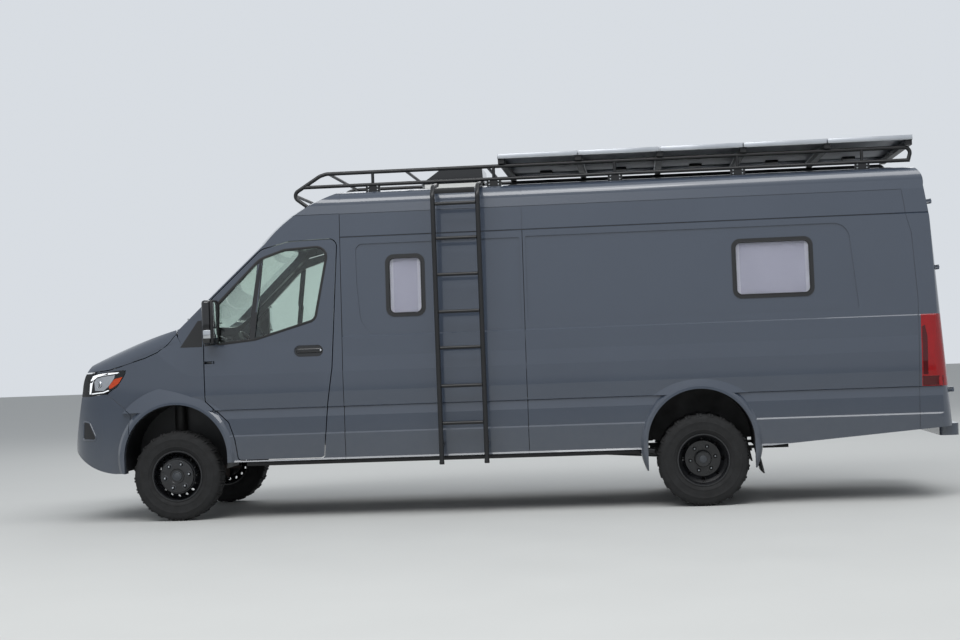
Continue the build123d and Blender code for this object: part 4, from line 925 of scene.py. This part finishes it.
# Black liners inside the wheel arches
linerLook = {
    "thick": 0.003, "steps": 40,
    # name, station, height, radius, outer and inner y, first and last angle in degrees
    "liners": [
        ("frontArchLinerLeft", 10, 530, 431, -0.985, -0.56, -14, 194),
        ("rearArchLinerLeft", 4312, 520, 425, -0.965, -0.515, -6, 186),
    ],
}


def archLiners():
    look = linerLook
    made = []
    for name, station, z, radius, outer, inner, first, last in look["liners"]:
        points = []
        for step in range(look["steps"] + 1):
            angle = math.radians(first + (last - first) * step / look["steps"])
            x = at(station) + radius / 1000 * math.cos(angle)
            points.append(Vector((x, outer, (z + radius * math.sin(angle)) / 1000)))
        sheet = drawLine(points)
        selectMesh()
        extrude((0, inner - outer, 0))
        endEdit()
        applyModifier(sheet, "SOLIDIFY", thickness=look["thick"], offset=0)
        made.append(finishPiece(sheet, name, "blackPlastic", smooth=40))
        if name.startswith("front"):
            wall = plate([point + Vector((0, inner - outer, 0)) for point in points], (0, look["thick"], 0))
            made.append(finishPiece(wall, "frontArchWallLeft", "blackPlastic"))
    bothSides(made)


# Solar panels: aluminium frames with a foot flange and a lip, cells under glass, white back sheets and
# junction boxes. Cells, back sheet and box each have their bottom and top as depths below the frame's top

panelLook = {
    "edges": [2736, 3402, 4072, 4750, 5427, 6107], "gap": 6, "half": 0.8, "low": 2.892, "high": 2.930,
    "wall": 0.004, "flange": 0.030, "lip": 0.011, "sheet": 0.002,
    "cells": (0.007, 0.0025), "back": (0.009, 0.0075), "box": (0.031, 0.0095),
    # half the box's length, and its two distances from the panel's edge
    "boxPlace": (0.055, 0.19, 0.09),
}


# Four strips along the edges of a panel
def edgeStrips(x0, x1, width, low, high):
    half = panelLook["half"]
    spans = (
        (x0, x0 + width, -half, half), (x1 - width, x1, -half, half),
        (x0, x1, -half, -half + width), (x0, x1, half - width, half),
    )
    return [brick((front, left, low), (rear, right, high)) for front, rear, left, right in spans]


def solarPanels():
    look = panelLook
    frames, cells, backs, boxes = [], [], [], []
    low, high, sheet, wall = look["low"], look["high"], look["sheet"], look["wall"]
    length, far, near = look["boxPlace"]
    side = look["half"] - wall
    for front, rear in zip(look["edges"], look["edges"][1:]):
        x0, x1 = at(front + look["gap"] / 2), at(rear - look["gap"] / 2)
        frames += edgeStrips(x0, x1, wall, low, high)
        frames += edgeStrips(x0, x1, look["flange"], low, low + sheet)
        frames += edgeStrips(x0, x1, look["lip"], high - sheet, high)
        for layers, (bottom, top) in ((cells, look["cells"]), (backs, look["back"])):
            layers.append(brick((x0 + wall, -side, high - bottom), (x1 - wall, side, high - top)))
        middle = (x0 + x1) / 2
        bottom, top = look["box"]
        corner = (middle - length, look["half"] - far, high - bottom)
        boxes.append(brick(corner, (middle + length, look["half"] - near, high - top)))
    for parts, name, finish, slot, bevel in (
        (frames, "solarFrames", "anodised", "panel_frame", 0.5), (cells, "solarCells", "cells", None, 0),
        (backs, "solarBackSheets", "backSheet", None, 0.5),
        (boxes, "solarJunctionBoxes", "blackPlastic", None, 0.5),
    ):
        piece = finishPiece(joined(parts), name, finish, bevel=bevel)
        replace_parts(piece, "solar_panels")


# Bolts of the rack's feet, the plate at the ladder's head, and end caps of its rails. Stations and the
# plate's heights are in millimetres, the rest in metres
roofLook = {
    "feet": [1690, 2700, 3700, 4700, 5700], "boltOffsets": (-38, 38), "boltHeights": (2.686, 2.712),
    "boltSide": -0.757, "boltHead": 0.006, "boltRadius": 0.0065,
    "headPlate": ((2246, 2569), (-1.128, -1.122), (2596, 2640)),
    "rails": [2225, 2590], "railSide": -1.12, "capHeights": (0.4121, 0.436), "capRadius": 0.0205,
}


def roofTrim():
    look = roofLook
    bolts = []
    for station in look["feet"]:
        for offset in look["boltOffsets"]:
            for z in look["boltHeights"]:
                place = Vector((at(station + offset), look["boltSide"], z))
                bolts.append(bar(place, place + Vector((0, -look["boltHead"], 0)), look["boltRadius"], 6))
    mirrored(finishPiece(joined(bolts), "rackFootBoltsLeft", "zinc", bevel=0.5))
    (front, rear), (outer, inner), (low, high) = look["headPlate"]
    head = brick((at(front), outer, low / 1000), (at(rear), inner, high / 1000))
    finishPiece(head, "ladderHeadPlate", "powderCoat", bevel=1)
    caps = []
    for station in look["rails"]:
        start, end = [(at(station), look["railSide"], z) for z in look["capHeights"]]
        caps.append(bar(start, end, look["capRadius"], 32))
    finishPiece(joined(caps), "ladderEndCaps", "rubber", bevel=2)


# Seats: a plain base and pan, posts, and cushions blown up by a cloth simulation that is held at the seams,
# so that the panels crown between the stitching

seatLook = {
    "y": 0.470, "voxelMm": 9.0, "pressure": 4.0, "frames": 16, "mostMm": 16, "seamMm": 9.0,
    "seamReachMm": 6.75, "smoothing": 0.5, "smoothTimes": 2,
    # name, side outline, half width, rounding, seams along (y) and across (station)
    "cushions": [
        ("Cushion", [(812, 1058), (1322, 1052), (1322, 1168), (824, 1172)], 0.236, 38,
         (-0.150, 0.150), (985, 1150)),
        ("Back", [(1246, 1112), (1330, 1112), (1404, 1690), (1330, 1690)], 0.226, 32, (-0.140, 0.140), ()),
        ("Headrest", [(1349, 1722), (1404, 1722), (1408, 1878), (1362, 1882)], 0.118, 24, (), ()),
    ],
    # name, finish, bevel, front and rear station, lower and upper height and half width in metres
    "frame": [
        ("seatBase", "blackPlastic", 12, 905, 1325, 0.778, 1.025, 0.215),
        ("seatPan", "dash", 9, 865, 1331, 0.995, 1.057, 0.227),
    ],
    # ends of a post and its radius, and how far the posts stand from the seat's middle
    "post": ((1374, 1.67), (1378, 1.75), 0.006), "postSide": 0.06,
}


def padShape(rows, half, rounding):
    points = [Vector((at(x), -half, z / 1000)) for x, z in rows]
    piece = plate(points, (0, 2 * half, 0))
    roundEdges(piece, rounding, 4, 0.4)
    applyModifier(piece, "REMESH", mode="VOXEL", voxel_size=seatLook["voxelMm"] / 1000)
    return piece


# Points on a seam are drawn in and held while the rest of the cover swells
def sewAndSwell(piece, along, across):
    look = seatLook
    settle(piece)
    held = piece.vertex_groups.new(name="seams")
    width = look["seamReachMm"] / 1000
    for vertex in piece.data.vertices:
        onSeam = any(abs(vertex.co.y - place) < width for place in along)
        inner = not along or along[0] < vertex.co.y < along[1]
        onSeam = onSeam or (inner and any(abs(vertex.co.x - at(place)) < width for place in across))
        if onSeam:
            held.add([vertex.index], 1.0, "REPLACE")
            vertex.co -= vertex.normal * look["seamMm"] / 1000
    start = [vertex.co.copy() for vertex in piece.data.vertices]
    bpy.context.view_layer.objects.active = piece
    cloth = piece.modifiers.new("swell", "CLOTH")
    cloth.settings.use_pressure = True
    cloth.settings.uniform_pressure_force = look["pressure"]
    cloth.settings.effector_weights.gravity = 0
    cloth.settings.vertex_group_mass = "seams"
    cloth.point_cache.frame_end = look["frames"]
    scene = bpy.context.scene
    for frameNumber in range(1, look["frames"] + 1):
        scene.frame_set(frameNumber)
    swollen = piece.evaluated_get(bpy.context.evaluated_depsgraph_get()).to_mesh()
    places = [vertex.co.copy() for vertex in swollen.vertices]
    piece.modifiers.remove(cloth)
    scene.frame_set(1)
    most = look["mostMm"] / 1000
    for vertex, before, after in zip(piece.data.vertices, start, places):
        move = after - before
        vertex.co = before + move * min(1, most / max(move.length, 1e-9))


def makeSeats():
    look = seatLook
    made = []
    for name, rows, half, rounding, along, across in look["cushions"]:
        pad = padShape(rows, half, rounding)
        sewAndSwell(pad, along, across)
        applyModifier(pad, "SMOOTH", factor=look["smoothing"], iterations=look["smoothTimes"])
        applyModifier(pad, "SUBSURF", levels=1)
        made.append(finishPiece(pad, "seat" + name, "seatCloth", smooth=80))
    for name, finish, bevel, front, rear, low, high, half in look["frame"]:
        block = brick((at(front), -half, low), (at(rear), half, high))
        made.append(finishPiece(block, name, finish, bevel=bevel, smooth=50))
    (foot, low), (head, high), radius = look["post"]
    posts = []
    for y in (-look["postSide"], look["postSide"]):
        posts.append(bar((at(foot), y, low), (at(head), y, high), radius, 16))
    made.append(finishPiece(joined(posts), "seatPosts", "chrome"))
    for index, piece in enumerate(made):
        for side, word in ((-1, "Left"), (1, "Right")):
            twin = copied(piece, Matrix.Translation((0, side * look["y"], 0)))
            twin.name = piece.name + word
            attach(twin, "body")
            if index < len(look["cushions"]):
                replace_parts(twin, "seats")
        bpy.data.objects.remove(piece)


makeSeats()
print("seats ready")

# Black rocker trims under the sills, partly the dark underside and partly painted shade under the body, and
# black strips of painted shade along the drip groove and the panel joints
sillLook = {"ends": (585, 3940), "y": (-0.952, -0.90), "z": (0.436, 0.4735)}
# Black strips of painted shade along the drip groove and the panel joints
grooveShadeLook = {
    "width": 5, "proud": 0.3, "thick": 1.2,
    "lines": [
        ("gutterSeamLeft", ["side_panel_left", "roof"], [(1430, 2291), (6000, 2291)]),
        ("pillarSeamLeft", ["side_panel_left", "cab_frame", "roof"], [(1424, 500), (1424, 2480)]),
        ("middleSeamLeft", ["side_panel_left", "roof"], [(2928, 500), (2928, 2285)]),
    ],
}


def sillsAndGrooveShade():
    (front, rear), (outer, inner), (low, high) = sillLook["ends"], sillLook["y"], sillLook["z"]
    sill = brick((at(front), outer, low), (at(rear), inner, high))
    # The sill trim is partly the real dark underside and partly painted shade: a black band where the body
    # shades the sill
    made = [finishPiece(sill, "sillTrimLeft", "blackPlastic", bevel=8, smooth=50)]
    look = grooveShadeLook
    half = look["width"] / 2
    seams = []
    for name, names, ((x0, z0), (x1, z1)) in look["lines"]:
        dx, dz = (0, half) if z0 == z1 else (half, 0)
        outline = [(x0 - dx, z0 - dz), (x1 - dx, z1 - dz), (x1 + dx, z1 + dz), (x0 + dx, z0 + dz)]
        # The black rubber strips are painted shade in the grooves
        seams.append((name, "rubber", "body", names, look["proud"], look["thick"], outline))
    bothSides(made + makeCovers(seams, smooth=50))


# Wipers on the screen, handle and high light of the rear end, and handle and rail of the sliding door

endLook = {
    # blades from the inner to the outer end and the pivot of each arm, as y and height
    "wipers": [
        ((-0.05, 1.640), (-0.66, 1.668), (-0.30, 1.600)), ((0.62, 1.655), (0.06, 1.640), (0.42, 1.600)),
    ],
    "bladeSteps": 8, "bladeRadius": 6, "armRadius": 0.007,
    # moves off the screen to the blade and the pivot, and off the blade's middle to the arm's end
    "blade": (-0.012, 0, 0.004), "pivot": (-0.012, 0, 0.006), "armEnd": (-0.010, 0, 0.004),
    # name, finish, body, bevel, y and height from and to, and how deep in the rear face and how far out of it
    "rear": [
        ("rearDoorHandle", "blackPlastic", "rear_door_right", 9,
         (0.035, 0.195), (1.175, 1.225), (0.006, 0.026)),
        ("highBrakeLight", "redLens", "body", 3, (-0.17, 0.17), (2.585, 2.603), (0.012, 0.004)),
    ],
    # name, finish, bevel, solid under it, how far proud, thickness and outline, given as on the left side
    "sliding": [
        ("slidingRailLeft", "blackPlastic", 1, "side_panel_right", 1.5, 4,
         rectangle(2985, 4470, 1493, 1515, 6)),
        ("slidePocketLeft", "glossBlack", 0, "sliding_door_right", 0.8, 1.6,
         rectangle(1494, 1727, 1301, 1391, 43)),
    ],
    "grip": ((1508, 1716), (1327, 1370), (1610, 1430), (11, 12)),
}


def frontHit(y, z):
    return skinHit(["windscreen", "cab_frame", "bonnet"], (-6, y, z), (1, 0, 0))


def rearHit(y, z):
    return skinHit(["rear_door_left", "rear_door_right", "rear_frame", "roof"], (6, y, z), (-1, 0, 0))


def endTrim():
    look = endLook
    steps = look["bladeSteps"]
    for index, (inner, outer, pivot) in enumerate(look["wipers"]):
        points = []
        for step in range(steps + 1):
            y, z = [a + (b - a) * step / steps for a, b in zip(inner, outer)]
            points.append(frontHit(y, z) + Vector(look["blade"]))
        blade = bead(points, look["bladeRadius"], closed=False)
        finishPiece(blade, "wiperBlade" + str(index + 1), "rubber", smooth=60)
        foot = frontHit(*pivot) + Vector(look["pivot"])
        arm = bar(foot, points[steps // 2] + Vector(look["armEnd"]), look["armRadius"], 12)
        finishPiece(arm, "wiperArm" + str(index + 1), "blackPlastic", bevel=1, smooth=60)
    for name, finish, body, bevel, (y0, y1), (z0, z1), (into, out) in look["rear"]:
        face = rearHit((y0 + y1) / 2, (z0 + z1) / 2).x
        block = brick((face - into, y0, z0), (face + out, y1, z1))
        finishPiece(block, name, finish, body, bevel=bevel, smooth=60)
    made = []
    for name, finish, bevel, solid, proud, thick, outline in look["sliding"]:
        made.append(finishPiece(leftCover(outline, [solid], proud, thick), name, finish, bevel=bevel))
    made.append(doorGrip(look["grip"], "slideHandleLeft", ["sliding_door_right"], "body")[0])
    for piece in made:
        mirrored(piece)
        bpy.data.objects.remove(piece)


sillsAndGrooveShade()
endTrim()
frontDoorTrim()
mirrorTrim()
print("door trim ready")
windowTrim()
lampTrim()
fogTrim()
archLiners()
print("side trim ready")
solarPanels()
roofTrim()
print("roof trim ready")


# Camera at the photograph's place, floor, backdrop and soft lights

cameraLook = {
    "place": (1.1412, -15.0606, 1.3227), "yaw": 0.0891, "pitch": 0.0172, "roll": -0.0371,
    "lens": 65.16, "sensor": 36.0,
}


def makeCamera():
    look = cameraLook
    data = bpy.data.cameras.new("photoCamera")
    data.lens, data.sensor_width = look["lens"], look["sensor"]
    camera = bpy.data.objects.new("photoCamera", data)
    bpy.context.collection.objects.link(camera)
    level = Matrix(((1, 0, 0), (0, 0, 1), (0, 1, 0)))
    turn = Matrix.Rotation(-look["yaw"], 3, "Z")
    tilt = Matrix.Rotation(look["pitch"], 3, "X")
    lean = Matrix.Rotation(-look["roll"], 3, "Z")
    rows = lean @ tilt @ level @ turn
    right, up, ahead = rows[0], rows[1], rows[2]
    pose = Matrix((right, up, -ahead)).transposed().to_4x4()
    camera.matrix_world = Matrix.Translation(look["place"]) @ pose
    bpy.context.scene.camera = camera


stageLook = {
    "floor": ("#bdbebc", "#c4c5c3"), "sky": "#dfe4ea", "skyStrength": 0.62, "backStrength": 0.93,
    # softboxes: place, size, power in watts
    "boxes": [((-4, -12, 13), (12, 7), 1300), ((5, -5, 13), (14, 6), 900), ((0, 11, 9), (12, 5), 350)],
}


def makeStage():
    look = stageLook
    deselect()
    bpy.ops.mesh.primitive_plane_add(size=120, location=(0, 0, 0))
    floor = bpy.context.object
    floor.name = "studioFloor"
    floor.data.materials.append(surface("paleStudioFloor", look["floor"], (0.75, 0.9), 900, 6, 0.05))
    world = bpy.data.worlds.new("studioSky")
    bpy.context.scene.world = world
    world.use_nodes = True
    tree = world.node_tree
    light = tree.nodes["Background"]
    light.inputs["Color"].default_value = srgb(look["sky"])
    light.inputs["Strength"].default_value = look["skyStrength"]
    paths = addNode(tree, "LightPath").outputs
    seen = paths["Is Camera Ray"]
    for kind in ("Is Glossy Ray", "Is Transmission Ray"):
        seen = addNode(tree, "Math", {0: seen, 1: paths[kind]}, operation="MAXIMUM").outputs["Value"]
    back = addNode(tree, "Background", {"Color": srgb(look["sky"]), "Strength": look["backStrength"]})
    mix = addNode(tree, "MixShader", {"Fac": seen, 1: light.outputs[0], 2: back.outputs[0]})
    tree.links.new(mix.outputs[0], tree.nodes["World Output"].inputs["Surface"])
    for index, (place, size, power) in enumerate(look["boxes"]):
        data = bpy.data.lights.new("softbox", "AREA")
        data.shape, data.size, data.size_y, data.energy = "RECTANGLE", size[0], size[1], power
        box = bpy.data.objects.new("softbox" + str(index), data)
        bpy.context.collection.objects.link(box)
        box.location = place
        box.rotation_euler = (Vector((0, 0, 1)) - Vector(place)).to_track_quat("-Z", "Y").to_euler()


makeCamera()
makeStage()
bpy.context.scene.view_settings.view_transform = "Standard"
print("camera and stage ready")
